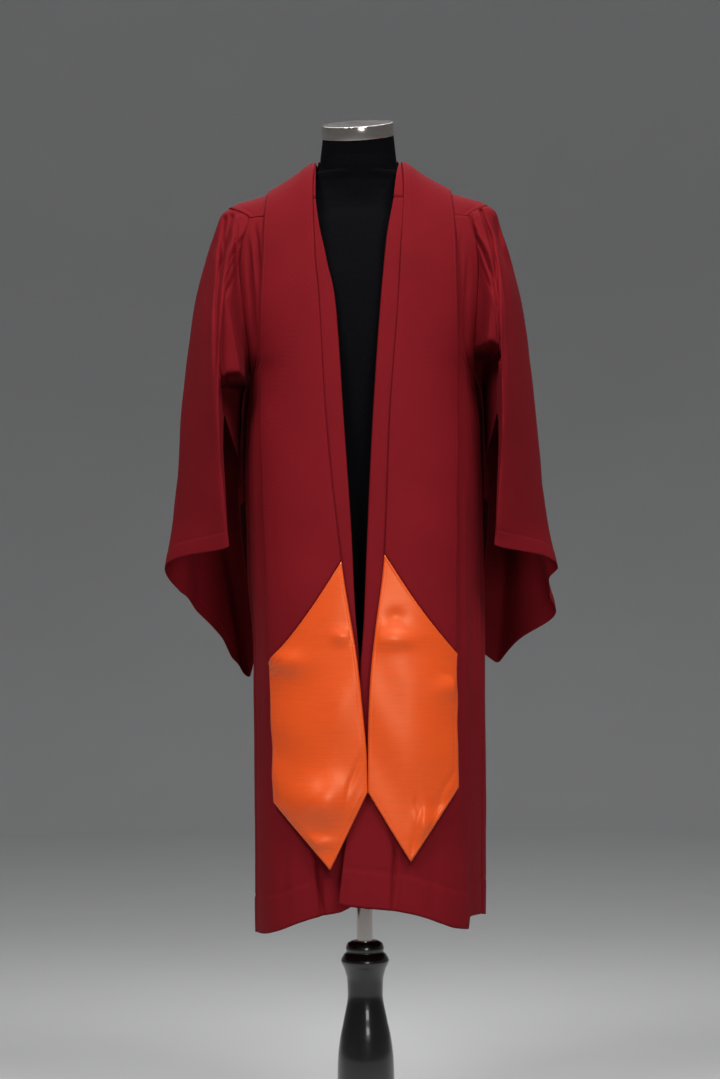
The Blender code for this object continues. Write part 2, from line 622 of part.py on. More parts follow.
def stole(name, finish, satin, columns=6, back_rows=10, front_rows=22, end_rows=8):
    side, shape = (-1 if name == "left" else 1), STOLE_END[name]
    across = np.linspace(0, 1, columns)
    grid = []
    for turn in np.linspace(0, math.pi / 2, back_rows, endpoint=False):
        x = (STOLE[name]("inner_x", 1.578) * (1 - across) + STOLE[name]("outer_x", 1.540) * across) * math.sin(turn)
        drop = STOLE_BACK_DROP_INNER * (1 - across) + STOLE_BACK_DROP_OUTER * across
        grid.append(shoulder_point(side * x, drop * math.cos(turn)))
    seam = end_sigma(name, across, shape["seam_inner"] * (1 - across) + shape["seam_outer"] * across)
    for share in np.linspace(0, 1, front_rows):
        grid.append(stole_surface(name, across, -1e-4 + seam * share))
    grid = np.array(grid)
    band = moved_out(grid, hanging_lift(grid[..., 2]), -side)
    band[0, :, 0] = side * SEAM / 2
    cloth(f"stole_{name}", band, finish)

    columns = 9
    tip = round(shape["point_share"] * (columns - 1))
    across = np.concatenate(
        [np.linspace(0, shape["point_share"], tip + 1), np.linspace(shape["point_share"], 1, columns - tip)[1:]]
    )
    top = shape["seam_inner"] * (1 - across) + shape["seam_outer"] * across - SEAM * 3
    low = np.interp(across, [0, shape["point_share"], 1], [shape["low_inner"], shape["point"], shape["low_outer"]])
    rows = []
    for share in np.linspace(0, 1, end_rows):
        height = top + (low - top) * share
        rows.append(stole_surface(name, across, end_sigma(name, across, height)))
    rows = np.array(rows)
    end = moved_out(rows, hanging_lift(rows[..., 2]), -side)
    cloth(f"stole_end_{name}", end, satin, wall=SATIN_WALL)


def armhole_point(side, corner):
    """A point of the armhole, which the sleeve starts from: corner 0 is its top, 1 its front, 2 its foot."""
    heights = np.linspace(ARMHOLE.keys[0], UNDERARM_HEIGHT, 200)
    front_line = gown_point(armhole_angle(side, heights, False), heights, False)
    back_line = gown_point(armhole_angle(side, heights, True), heights, True)
    loop = np.concatenate([spaced(front_line, 101), spaced(back_line, 101)[::-1][1:]])
    loop[:, 0] *= side
    loop[:, 0] += ARMHOLE_GAP + UNDERARM_STANDOFF * smooth_step((1.30 - loop[:, 2]) / 0.06)
    return np.stack([np.interp(corner, np.linspace(0, 4, len(loop)), loop[:, i]) for i in range(3)], axis=-1)


def corner_track(name, side, corner_name, share):
    """A corner of the sleeve's section, followed down the sleeve."""
    own = SLEEVE_BACK[name]
    if corner_name == "back":
        track = np.stack([own(axis, share) for axis in "xyz"], axis=-1)
    else:
        column = SLEEVE[0].index(corner_name)
        keys = [row[0] for row in SLEEVE[1:]]
        track = np.stack([smooth_curve(keys, [row[column][i] for row in SLEEVE[1:]], share) for i in range(3)], -1)
    if corner_name == "outer":
        track[..., 0] += own("outer", share)
    if corner_name == "inner":
        track[..., 0] += side * GOWN("centre_x", track[..., 2])
    return track


def sleeve_section(name, side, corner, share):
    """A point of the curve through the section's four corners."""
    names = (*SLEEVE[0][1:], "back")
    tracks = [corner_track(name, side, each, share) for each in names]
    pulls = [SLEEVE_PULL[each] * (tracks[(i + 1) % 4] - tracks[i - 1]) / 2 for i, each in enumerate(names)]
    start = np.floor(corner).astype(int) % 4
    t = (corner - np.floor(corner))[..., None]
    point = 0
    for i in range(4):
        after = (i + 1) % 4
        piece = (2 * t**3 - 3 * t**2 + 1) * tracks[i] + (t**3 - 2 * t**2 + t) * pulls[i]
        piece = piece + (3 * t**2 - 2 * t**3) * tracks[after] + (t**3 - t**2) * pulls[after]
        point = point + np.where((start == i)[..., None], piece, 0)
    return point


def sleeve_point(name, corner, share):
    """A point of the sleeve's middle surface, as if on the right: corner counts round the section, share runs
    down the sleeve."""
    side = -1 if name == "left" else 1
    joined = (1 - smooth_step(share / SLEEVE_JOINS_BY))[..., None]
    start = armhole_point(side, corner) - sleeve_section(name, side, corner, 0 * share)
    return sleeve_section(name, side, corner, share) + start * joined


def sleeve_hang(name, grid, corner, share):
    """The cloth folds under the arm in front, and the sleeve's inner side lies against the gown behind it."""
    x, y, height = grid[..., 0], grid[..., 1], grid[..., 2]
    above = smooth_step((height - UNDERARM_FOLD[name] + 0.006) / 0.012) * smooth_step((share - 0.03) / 0.08)
    above = above * smooth_step((corner - 0.95) / 0.15) * smooth_step((2.10 - corner) / 0.12)
    y = y + above * (np.minimum(y, UNDERARM_FOLD_Y) - y)
    side = -1 if name == "left" else 1
    depth = GOWN("back_depth", height) * np.tanh(SHOULDER_FALL * np.sqrt(np.maximum(ridge_height(x) - height, 0)))
    roundness = GOWN("back_round", height)
    inside = np.maximum(1 - np.clip(y / np.maximum(depth, 1e-6), 0, 1) ** roundness, 0) ** (1 / roundness)
    gown_x = GOWN("half_width", height) * inside + side * GOWN("centre_x", height)
    close = smooth_step((corner - 2.05) / 0.25) * smooth_step((2.95 - corner) / 0.30) * smooth_step((share - 0.05) / 0.12)
    nearest = gown_x + BEHIND_GAP + 0.006 * smooth_step((1.22 - height) / 0.25)
    x = x + close * (np.minimum(x, np.maximum(nearest, 0.172)) - x)
    x = np.where((corner > 2.1) & (height < 1.22), np.maximum(x, nearest), x)
    return np.stack([x, y, height], axis=-1)


def around(corner, centre):
    """How far apart two places on the section are, the short way round."""
    return (corner - centre + 2) % 4 - 2


def sleeve_creases(corner, share):
    """How far the creases that run down from the gathers move the sleeve out."""
    out = 0
    for begin, finish, width, depth, start, end in SLEEVE_CREASES[1:]:
        run = np.clip((share - start) / (end - start), 0, 1)
        shown = smooth_step((share - start + 0.02) / 0.04) * smooth_step((end - share) / (0.7 * (end - start)))
        centre = begin + (finish - begin) * run**0.8
        out = out - depth * np.exp(-((around(corner, centre) / width) ** 2)) * shown
    return out


def sleeve_waves(name, corner, share):
    """How far the lower sleeve swings sideways."""
    out = 0
    for centre, width, stand, start in SLEEVE_WAVES[name][1:]:
        shown = smooth_step((share - start) / (1 - start))
        out = out + stand * np.exp(-((around(corner, centre) / width) ** 2)) * shown
    return out


def sleeve(name, finish, rows=16, columns=(14, 7, 8, 13)):
    shares = np.concatenate([[0, 0.03, 0.07], np.linspace(0.12, 1, rows - 3)])
    corners = np.concatenate([start + np.arange(count) / count for start, count in enumerate(columns)])
    corner, share = np.meshgrid(corners, shares)
    share = share * SLEEVE_MOUTH[name]("end", corner)
    grid = sleeve_point(name, corner, share)
    grid[..., 0] += sleeve_waves(name, corner, share)
    grid = sleeve_hang(name, grid, corner, share)
    outward = -normals_of(grid, wrap=True)
    grid = grid + outward * sleeve_creases(corner, share)[..., None]
    if name == "left":
        grid = (grid * np.array([-1, 1, 1]))[:, ::-1]
    return cloth(f"sleeve_{name}", grid, finish, wrap=True)


def form_half_width(height):
    """The form's half width. At the shoulders it follows the yoke from below, so that the yoke rests on it."""
    reach = np.linspace(0.066, 0.182, 200)
    cover = FORM_COVER + FORM_COVER_AT_NECK * smooth_step((0.150 - reach) / 0.060)
    under = np.interp(-height, cover - ridge_height(reach), reach)
    at_shoulder = (height > SHOULDER_CREST) & (height < NECK_FOOT)
    return np.where(at_shoulder, np.minimum(under, 0.182), FORM("half_width", height))


def form_ring(height, sides):
    turns = (np.arange(sides) + 0.5) / sides * 2 * math.pi
    power = 2 / FORM("roundness", height)
    half = float(form_half_width(np.array(height)))
    depth = np.where(np.sin(turns) < 0, FORM("front_depth", height), FORM("back_depth", height))
    x = half * np.sign(np.cos(turns)) * np.abs(np.cos(turns)) ** power
    y = FORM("centre_y", height) + depth * np.sign(np.sin(turns)) * np.abs(np.sin(turns)) ** power
    return np.stack([x, y, height + 0 * turns], axis=1)


def form_body(finish, sides=24):
    rings = [form_ring(height, sides) for height in FORM_RING_HEIGHTS]
    top = cap_ring(CAP_RADIUS - 0.0008, -FIT_GAP, sides)
    rings.append(rings[-1] * 0.5 + top * 0.5)
    rings.append(top)
    return solid("form_body", rings, finish)


def cap_ring(radius, lift, sides=24):
    """A ring of points about the neck cap's tilted axis, lift above the foot of the cap."""
    turns = (np.arange(sides) + 0.5) / sides * 2 * math.pi
    ring = np.stack([radius * np.cos(turns), radius * np.sin(turns), lift + 0 * turns], axis=1)
    nod, tilt = CAP_NOD, CAP_TILT
    turn_x = np.array([[1, 0, 0], [0, math.cos(nod), -math.sin(nod)], [0, math.sin(nod), math.cos(nod)]])
    turn_y = np.array([[math.cos(tilt), 0, math.sin(tilt)], [0, 1, 0], [-math.sin(tilt), 0, math.cos(tilt)]])
    return ring @ (turn_y @ turn_x).T + np.array(CAP_CENTRE)


def neck_cap(finish):
    """A shallow drum, eased at its edges."""
    ease = 0.0012
    rings = [
        cap_ring(CAP_RADIUS - ease, 0), cap_ring(CAP_RADIUS, ease), cap_ring(CAP_RADIUS, CAP_HEIGHT - ease),
        cap_ring(CAP_RADIUS - ease, CAP_HEIGHT), cap_ring(CAP_RADIUS - CAP_RIM, CAP_HEIGHT),
        cap_ring(CAP_RADIUS - CAP_RIM - 0.0008, CAP_HEIGHT - 0.0010),
    ]
    return solid("neck_cap", rings, finish)


def level_ring(radius, height, sides=24):
    turns = np.arange(sides) / sides * 2 * math.pi
    return np.stack([radius * np.cos(turns), radius * np.sin(turns), height + 0 * turns], axis=1)


def pole(finish):
    foot = COLUMN_TOP - POLE_SOCKET_DEPTH + FIT_GAP
    head = FORM_BOTTOM - PLATE_THICKNESS - 2 * FIT_GAP
    return solid("pole", [level_ring(POLE_RADIUS, foot), level_ring(POLE_RADIUS, head)], finish)


def base_plate(finish, sides=24):
    """The board that closes the form from below, and that the pole carries."""
    turns = np.arange(sides) / sides * 2 * math.pi
    inset = 0.010
    rings = []
    for height in (FORM_BOTTOM - FIT_GAP - PLATE_THICKNESS, FORM_BOTTOM - FIT_GAP):
        depth = np.where(np.sin(turns) < 0, FORM("front_depth", FORM_BOTTOM), FORM("back_depth", FORM_BOTTOM))
        x = (FORM("half_width", FORM_BOTTOM) - inset) * np.cos(turns)
        rings.append(np.stack([x, (depth - inset) * np.sin(turns), height + 0 * turns], axis=1))
    return solid("form_base_plate", rings, finish)


def stand_column(finish):
    """The turned column, bored from the top for the pole."""
    heights = COLUMN_RING_HEIGHTS[::-1]
    rings = [level_ring(float(COLUMN("radius", height)), height) for height in heights]
    bore = POLE_RADIUS + FIT_GAP
    rings.append(level_ring(bore, COLUMN_TOP))
    rings.append(level_ring(bore, COLUMN_TOP - POLE_SOCKET_DEPTH))
    return solid("stand_column", rings, finish)


def stand_base(finish, sides=36):
    rings = [level_ring(radius, height, sides) for height, radius in BASE_PROFILE[1:]]
    return solid("stand_base", rings, finish)


def main():
    for old in list(bpy.data.objects):
        bpy.data.objects.remove(old)
    gown_cloth = material("gown_cloth", BURGUNDY, 0.85, sheen=0.3)
    satin = material("stole_satin", ORANGE, 0.42)
    jersey = material("form_jersey", BLACK_JERSEY, 0.9)
    chrome = material("chrome", CHROME, 0.12, metallic=1.0)
    lacquer = material("stand_lacquer", BLACK_LACQUER, 0.15)

    yoke(gown_cloth)
    neckband(gown_cloth)
    back(gown_cloth)
    for name in ("left", "right"):
        front(name, gown_cloth)
        sleeve(name, gown_cloth)
        stole(name, gown_cloth, satin)

    form_body(jersey)
    base_plate(lacquer)
    neck_cap(chrome)
    pole(chrome)
    stand_column(lacquer)
    stand_base(lacquer)


main()
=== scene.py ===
"""The looks of a graduation gown and its stole on a dress form.

Metres, +Z up, the front towards -Y. Left and right are the viewer's. Each cloth piece is a fine grid of points on
the surface that its CAD solid is made on, with its smaller folds, hems and stitched lines added, and gets a thin
wall. The hard pieces are modelled from primitives.
"""

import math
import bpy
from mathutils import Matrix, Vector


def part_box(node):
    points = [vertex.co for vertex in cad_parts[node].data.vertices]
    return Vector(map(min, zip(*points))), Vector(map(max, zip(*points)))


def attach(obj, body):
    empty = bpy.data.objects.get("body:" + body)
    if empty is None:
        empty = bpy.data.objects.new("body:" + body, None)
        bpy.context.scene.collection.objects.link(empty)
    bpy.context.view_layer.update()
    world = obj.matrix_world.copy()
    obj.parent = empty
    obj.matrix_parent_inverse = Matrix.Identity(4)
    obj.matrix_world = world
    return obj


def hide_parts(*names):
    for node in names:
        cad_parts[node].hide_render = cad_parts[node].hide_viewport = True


bl_info = {
    "name": "Graduation gown on a dress form",
    "version": (1, 0, 0),
    "blender": (4, 5, 0),
    "location": "View3D > Sidebar > Gown",
    "description": "Builds a graduation gown with a stole, its dress form and stand, and a plain studio",
    "category": "Object",
}

import bpy
import numpy as np

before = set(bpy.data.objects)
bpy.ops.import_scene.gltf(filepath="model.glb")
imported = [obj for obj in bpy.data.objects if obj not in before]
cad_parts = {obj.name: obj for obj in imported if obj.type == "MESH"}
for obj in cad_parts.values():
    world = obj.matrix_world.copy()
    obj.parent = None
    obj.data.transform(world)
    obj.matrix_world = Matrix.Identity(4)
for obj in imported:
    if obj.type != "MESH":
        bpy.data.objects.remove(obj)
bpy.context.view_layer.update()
POLE_TOP = float(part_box("pole")[1][2])
POLE_FOOT = float(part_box("pole")[0][2])
ROOT_BODY = "root"

# The gown's middle surface, as in the CAD.
SEAM = 0.0005
SHOULDER_FALL = 2.67
TOP_OF_RIDGE = 1.595
UNDERARM_HEIGHT = 1.250
HEM_HEIGHT = 0.381
YOKE_BACK_HEIGHT = 1.434
YOKE_FRONT_AT_NECK, YOKE_FRONT_AT_SLEEVE = 1.517, 1.4915
ARMHOLE_TOP = 1.5125
NECK_HALF_WIDTH = 0.0665
NECK_BACK_SIGMA = 0.190
STOLE_BACK_DROP_INNER, STOLE_BACK_DROP_OUTER = 0.205, 0.352
STOLE_LIFT, STOLE_LIFT_AT_POINT = 0.0041, 0.011
NECKBAND_SIDE_RISE = 0.007
BEHIND_GAP = 0.0085
SLEEVE_JOINS_BY = 0.16


def smooth_curve(keys, values, at):
    """A curve through the rows that doesn't overshoot them, read at one value or an array of them."""
    keys, values = np.asarray(keys, float), np.asarray(values, float)
    if keys[0] > keys[-1]:
        keys, values = keys[::-1], values[::-1]
    step = np.diff(keys)
    slope = np.diff(values) / step
    inner = np.where(slope[:-1] * slope[1:] > 0, 2 * slope[:-1] * slope[1:] / (slope[:-1] + slope[1:] + 1e-12), 0)
    tangent = np.concatenate([[slope[0]], inner, [slope[-1]]])
    at = np.clip(at, keys[0], keys[-1])
    row = np.clip(np.searchsorted(keys, at, side="right") - 1, 0, len(step) - 1)
    share = (at - keys[row]) / step[row]
    rise, hold = share * share * (3 - 2 * share), share * (1 - share)
    ends = values[row] * (1 - rise) + values[row + 1] * rise
    return ends + step[row] * hold * ((1 - share) * tangent[row] - share * tangent[row + 1])


class Sections:
    """A short table: the first column is the key, and the others are read at any key by name."""

    def __init__(self, columns, *rows):
        self.keys = [row[0] for row in rows]
        self.values = {name: [row[i] for row in rows] for i, name in enumerate(columns.split()) if i}

    def __call__(self, column, at):
        return smooth_curve(self.keys, self.values[column], at)


RIDGE = Sections(
    "out_from_centre height",
    (0.000, TOP_OF_RIDGE),
    (0.066, 1.5800),
    (0.100, 1.5580),
    (0.140, 1.5355),
    (0.165, 1.5275),
    (0.190, 1.5200),
    (0.215, 1.5050),
)

GOWN = Sections(
    "height half_width front_depth back_depth centre_x left_round right_round back_round",
    (1.600, 0.290, 0.150, 0.140, 0.0, 2.7, 2.7, 2.3),
    (1.500, 0.260, 0.150, 0.142, 0.0, 2.7, 2.7, 2.3),
    (1.420, 0.222, 0.150, 0.146, 0.0, 2.7, 2.7, 2.3),
    (1.340, 0.200, 0.150, 0.146, 0.001, 2.7, 2.7, 2.3),
    (1.280, 0.183, 0.151, 0.146, 0.003, 2.7, 2.7, 2.3),
    (1.250, 0.1755, 0.152, 0.146, 0.0038, 2.7, 2.7, 2.3),
    (1.160, 0.1830, 0.153, 0.153, 0.0036, 2.7, 2.7, 2.3),
    (1.050, 0.1855, 0.155, 0.166, 0.0046, 2.8, 2.7, 2.4),
    (0.950, 0.1855, 0.156, 0.180, 0.0060, 3.0, 2.7, 2.5),
    (0.800, 0.1810, 0.158, 0.200, 0.0105, 3.3, 2.7, 2.6),
    (0.550, 0.1815, 0.160, 0.228, 0.0105, 3.8, 2.6, 2.6),
    (0.370, 0.1800, 0.162, 0.245, 0.0095, 4.2, 2.5, 2.6),
)

ARMHOLE = Sections(
    "height front_x back_x",
    (ARMHOLE_TOP, 0.2040, 0.2040),
    (1.4915, 0.1705, 0.1960),
    (1.455, 0.1795, 0.1870),
    (1.415, 0.1840, 0.1810),
    (1.361, 0.1810, 0.1770),
    (1.313, 0.1775, 0.1745),
    (1.285, 0.1750, 0.1735),
    (1.250, 0.1755, 0.1755),
)

FRONT_EDGE = {
    "left": Sections(
        "height x", (1.60, 0.0680), (1.53, 0.0675), (1.507, 0.0655), (1.471, 0.0605), (1.440, 0.0540),
        (1.410, 0.0480), (1.380, 0.0408), (1.345, 0.0362), (1.18, 0.0262), (0.99, 0.0150), (0.90, 0.0116),
        (0.77, 0.0030), (0.60, -0.0040), (0.42, -0.0080),
    ),
    "right": Sections(
        "height x", (1.60, 0.0645), (1.53, 0.0560), (1.45, 0.0420), (1.18, 0.0190), (0.99, 0.0085), (0.86, 0.0020),
        (0.77, -0.0060), (0.51, -0.0310), (0.42, -0.0420),
    ),
}
# The hems of the fronts, as the camera sees them: how high they run at each distance from the centre line.
FRONT_HEM = {
    "left": Sections(
        "out height", (-0.1700, 0.3752), (-0.1573, 0.3722), (-0.1369, 0.3761), (-0.1051, 0.3878), (-0.0755, 0.3961),
        (-0.0418, 0.4019), (-0.0219, 0.4114), (-0.0100, 0.4190), (0.0300, 0.4400),
    ),
    "right": Sections(
        "out height", (-0.0423, 0.4186), (-0.0392, 0.4165), (-0.0057, 0.4120), (0.0400, 0.4074), (0.0585, 0.4035),
        (0.0768, 0.3997), (0.0996, 0.3930), (0.1222, 0.3846), (0.1422, 0.3783), (0.1622, 0.3768), (0.1650, 0.3955),
        (0.1905, 0.4006),
    ),
}
BACK_HEM = Sections(
    "across height", (0.00, 0.3755), (0.06, 0.3790), (0.25, 0.3920), (0.50, 0.4020), (0.75, 0.4010), (1.00, 0.4005),
)
STOLE = {
    "left": Sections(
        "height inner_x outer_x", (1.578, 0.0665, 0.1300), (1.537, 0.0700, 0.1400), (1.430, 0.0676, 0.1480),
        (1.366, 0.0620, 0.1505), (1.181, 0.0525, 0.1520), (0.955, 0.0304, 0.1440), (0.800, 0.0075, 0.1370),
        (0.745, 0.0020, 0.1350), (0.651, -0.0050, 0.1320), (0.470, -0.0070, 0.1270),
    ),
    "right": Sections(
        "height inner_x outer_x", (1.578, 0.0668, 0.1320), (1.537, 0.0690, 0.1420), (1.430, 0.0633, 0.1490),
        (1.346, 0.0580, 0.1490), (1.181, 0.0445, 0.1480), (0.967, 0.0345, 0.1425), (0.846, 0.0190, 0.1395),
        (0.774, 0.0114, 0.1385), (0.684, 0.0075, 0.1380), (0.470, 0.0062, 0.1370),
    ),
}
STOLE_END = {
    "left": {"seam_inner": 0.958, "seam_outer": 0.803, "low_inner": 0.609, "low_outer": 0.592, "point": 0.492,
             "point_share": 0.43},
    "right": {"seam_inner": 0.968, "seam_outer": 0.815, "low_inner": 0.609, "low_outer": 0.613, "point": 0.503,
              "point_share": 0.475},
}
FRONT_STEPS = {
    "left": {"place": -0.064, "drift": 0.020, "width": 0.010, "forward": -0.008, "top": 0.62},
    "right": {"place": 0.047, "drift": 0.012, "width": 0.012, "forward": 0.009, "top": 0.66},
}
FRONT_FOLDS = (
    ("share", "width", "depth", "low", "high"),
    (0.865, 0.035, 0.0050, 0.30, 1.47),
    (0.775, 0.030, 0.0022, 1.10, 1.50),
)

# Small folds of the fronts that the CAD leaves out: valleys along a line from (x, height) to (x, height).
FRONT_CREASES = {
    "left": (
        ("top_x", "top", "foot_x", "foot", "width", "depth"),
        (-0.1620, 1.490, -0.1490, 1.360, 0.0036, 0.0046),
        (-0.1720, 1.470, -0.1610, 1.250, 0.0040, 0.0040),
        (-0.1560, 1.130, -0.1600, 0.560, 0.0060, 0.0016),
        (-0.0734, 0.520, -0.0618, 0.402, 0.0030, 0.0052),
        (-0.1180, 0.560, -0.1260, 0.400, 0.0080, 0.0016),
        (-0.0240, 0.480, -0.0180, 0.428, 0.0050, 0.0014),
    ),
    "right": (
        ("top_x", "top", "foot_x", "foot", "width", "depth"),
        (0.1470, 1.490, 0.1510, 1.350, 0.0036, 0.0046),
        (0.1560, 1.480, 0.1600, 1.270, 0.0040, 0.0040),
        (0.1510, 1.180, 0.1560, 0.400, 0.0060, 0.0028),
        (0.1680, 1.120, 0.1720, 0.520, 0.0060, 0.0018),
        (0.0483, 0.540, 0.0402, 0.404, 0.0030, 0.0052),
        (0.1010, 0.540, 0.1080, 0.398, 0.0080, 0.0016),
    ),
}

SLEEVE = (
    ("share", "outer", "front", "inner"),
    (0.00, (0.2060, 0.002, 1.5115), (0.1855, -0.080, 1.395), (0.1810, 0.000, 1.2500)),
    (0.05, (0.2165, 0.002, 1.5035), (0.1960, -0.092, 1.385), (0.1840, 0.000, 1.2360)),
    (0.12, (0.2290, 0.002, 1.4740), (0.2080, -0.104, 1.365), (0.1865, 0.000, 1.2200)),
    (0.30, (0.2580, 0.000, 1.3600), (0.2160, -0.120, 1.290), (0.1895, 0.000, 1.1850)),
    (0.50, (0.2735, 0.000, 1.2300), (0.2170, -0.126, 1.190), (0.1905, 0.000, 1.1500)),
    (0.75, (0.2880, -0.002, 1.0720), (0.2110, -0.128, 1.070), (0.1910, 0.002, 1.1050)),
    (0.90, (0.3000, -0.002, 0.9900), (0.2060, -0.126, 1.005), (0.1912, 0.004, 1.0800)),
    (1.00, (0.3090, -0.002, 0.9440), (0.2030, -0.124, 0.982), (0.1915, 0.006, 1.0650)),
)
SLEEVE_BACK = {
    "left": Sections(
        "share x y z outer",
        (0.00, 0.1795, 0.094, 1.385, 0.000),
        (0.05, 0.1960, 0.106, 1.375, 0.000),
        (0.12, 0.2120, 0.118, 1.350, -0.002),
        (0.30, 0.2320, 0.136, 1.265, 0.001),
        (0.50, 0.2330, 0.144, 1.135, 0.003),
        (0.75, 0.2150, 0.146, 0.960, 0.002),
        (0.90, 0.1960, 0.140, 0.845, 0.000),
        (1.00, 0.1835, 0.134, 0.770, 0.000),
    ),
    "right": Sections(
        "share x y z outer",
        (0.00, 0.1795, 0.094, 1.385, 0.000),
        (0.05, 0.1960, 0.106, 1.375, -0.001),
        (0.12, 0.2120, 0.118, 1.350, -0.004),
        (0.30, 0.2320, 0.136, 1.265, -0.004),
        (0.50, 0.2360, 0.144, 1.135, -0.002),
        (0.75, 0.2330, 0.146, 0.965, -0.003),
        (0.90, 0.2260, 0.140, 0.855, -0.003),
        (1.00, 0.2200, 0.134, 0.790, -0.001),
    ),
}

# Where the sleeve's mouth cuts it off, by corner of its section, and the fold under the arm in front of it.
SLEEVE_MOUTH = {
    "left": Sections(
        "corner end", (1.00, 1.00), (1.13, 0.50), (1.50, 0.62), (1.80, 0.82), (2.05, 1.00), (3.31, 1.00),
        (3.38, 0.968), (3.50, 0.957), (3.62, 0.968), (3.78, 1.00),
    ),
    "right": Sections(
        "corner end", (1.00, 1.00), (1.13, 0.50), (1.50, 0.62), (1.80, 0.82), (2.05, 1.00), (3.05, 1.00),
        (3.20, 0.992), (3.60, 0.985), (3.75, 1.00),
    ),
}
UNDERARM_FOLD = {"left": 1.2427, "right": 1.2880}
UNDERARM_FOLD_Y = -0.104
SLEEVE_PULL = {"outer": 0.85, "front": 0.55, "inner": 0.75, "back": 0.45}
ARMHOLE_GAP, UNDERARM_STANDOFF = 0.0004, 0.0020

# The sleeves' creases, by corner (0 outer, 1 front, 2 inner, 3 back, 4 outer) and share of the length.
SLEEVE_CREASES = (
    ("from", "to", "width", "depth", "start", "end"),
    (0.13, 0.22, 0.060, 0.0050, 0.01, 0.26),
    (0.34, 0.52, 0.055, 0.0095, 0.01, 0.46),
    (0.56, 0.88, 0.050, 0.0085, 0.01, 0.60),
    (0.78, 1.14, 0.055, 0.0045, 0.01, 0.28),
    (3.87, 3.76, 0.060, 0.0060, 0.01, 0.38),
    (3.66, 3.48, 0.065, 0.0080, 0.01, 0.52),
    (3.45, 3.24, 0.065, 0.0060, 0.01, 0.36),
    (3.26, 3.02, 0.060, 0.0040, 0.01, 0.26),
    (0.04, 0.08, 0.030, 0.0030, 0.00, 0.14),
    (0.22, 0.30, 0.030, 0.0036, 0.00, 0.18),
    (0.45, 0.62, 0.028, 0.0036, 0.00, 0.20),
    (0.67, 0.90, 0.028, 0.0034, 0.00, 0.20),
    (0.88, 1.16, 0.028, 0.0026, 0.00, 0.16),
    (3.96, 3.93, 0.030, 0.0030, 0.00, 0.14),
    (3.77, 3.68, 0.030, 0.0034, 0.00, 0.18),
    (3.56, 3.40, 0.030, 0.0034, 0.00, 0.20),
    (3.36, 3.18, 0.030, 0.0030, 0.00, 0.18),
)
# The folds that show on the front of each sleeve, down from the armhole, as the camera sees them: how far out from
# the centre line they run at each height, how deep they are and how wide.
SLEEVE_FOLDS = {
    "left": (
        Sections("height out depth width", (1.4973, 0.2105, 0.0060, 0.0040), (1.4778, 0.2130, 0.0080, 0.0040),
                 (1.4621, 0.2139, 0.0100, 0.0040), (1.4275, 0.2172, 0.0090, 0.0040), (1.3961, 0.2207, 0.0070, 0.0037),
                 (1.3520, 0.2242, 0.0050, 0.0035), (1.2970, 0.2262, 0.0030, 0.0030), (1.2545, 0.2282, 0.0, 0.0030)),
        Sections("height out depth width", (1.4999, 0.2010, 0.0060, 0.0040), (1.4700, 0.2059, 0.0090, 0.0040),
                 (1.4385, 0.2133, 0.0060, 0.0040), (1.4181, 0.2173, 0.0, 0.0040)),
        Sections("height out depth width", (1.4904, 0.1924, 0.0015, 0.0025), (1.4621, 0.1934, 0.0030, 0.0025),
                 (1.4385, 0.1944, 0.0030, 0.0025), (1.4023, 0.1923, 0.0025, 0.0025), (1.3756, 0.1894, 0.0, 0.0025)),
        Sections("height out depth width", (1.4904, 0.2199, 0.0010, 0.0080), (1.4542, 0.2265, 0.0025, 0.0080),
                 (1.3992, 0.2379, 0.0025, 0.0080), (1.3520, 0.2431, 0.0, 0.0080)),
        Sections("height out depth width", (1.4980, 0.1869, 0.0014, 0.0013), (1.4800, 0.1869, 0.0, 0.0013)),
        Sections("height out depth width", (1.4960, 0.1814, 0.0014, 0.0013), (1.4790, 0.1814, 0.0, 0.0013)),
        Sections("height out depth width", (1.4950, 0.1765, 0.0014, 0.0013), (1.4780, 0.1765, 0.0, 0.0013)),
    ),
    "right": (
        Sections("height out depth width", (1.5109, 0.1908, 0.0040, 0.0030), (1.4857, 0.1985, 0.0060, 0.0030),
                 (1.4511, 0.2092, 0.0070, 0.0030), (1.4133, 0.2145, 0.0060, 0.0030), (1.3583, 0.2179, 0.0050, 0.0030),
                 (1.3048, 0.2187, 0.0030, 0.0030), (1.2498, 0.2177, 0.0, 0.0030)),
        Sections("height out depth width", (1.4951, 0.1765, 0.0030, 0.0030), (1.4653, 0.1857, 0.0050, 0.0030),
                 (1.4291, 0.2012, 0.0060, 0.0030), (1.3913, 0.2126, 0.0050, 0.0030), (1.3677, 0.2148, 0.0, 0.0030)),
        Sections("height out depth width", (1.4904, 0.2158, 0.0040, 0.0040), (1.4542, 0.2226, 0.0100, 0.0050),
                 (1.4275, 0.2326, 0.0080, 0.0060), (1.3992, 0.2434, 0.0040, 0.0060), (1.3599, 0.2525, 0.0, 0.0060)),
        Sections("height out depth width", (1.4983, 0.1729, 0.0025, 0.0025), (1.4653, 0.1835, 0.0025, 0.0025),
                 (1.4244, 0.1885, 0.0025, 0.0025), (1.3693, 0.1849, 0.0018, 0.0025), (1.3206, 0.1823, 0.0, 0.0025)),
        Sections("height out depth width", (1.4967, 0.1794, 0.0014, 0.0013), (1.4800, 0.1806, 0.0, 0.0013)),
        Sections("height out depth width", (1.5000, 0.1845, 0.0014, 0.0013), (1.4820, 0.1864, 0.0, 0.0013)),
        Sections("height out depth width", (1.5030, 0.1893, 0.0014, 0.0013), (1.4870, 0.1920, 0.0, 0.0013)),
    ),
}
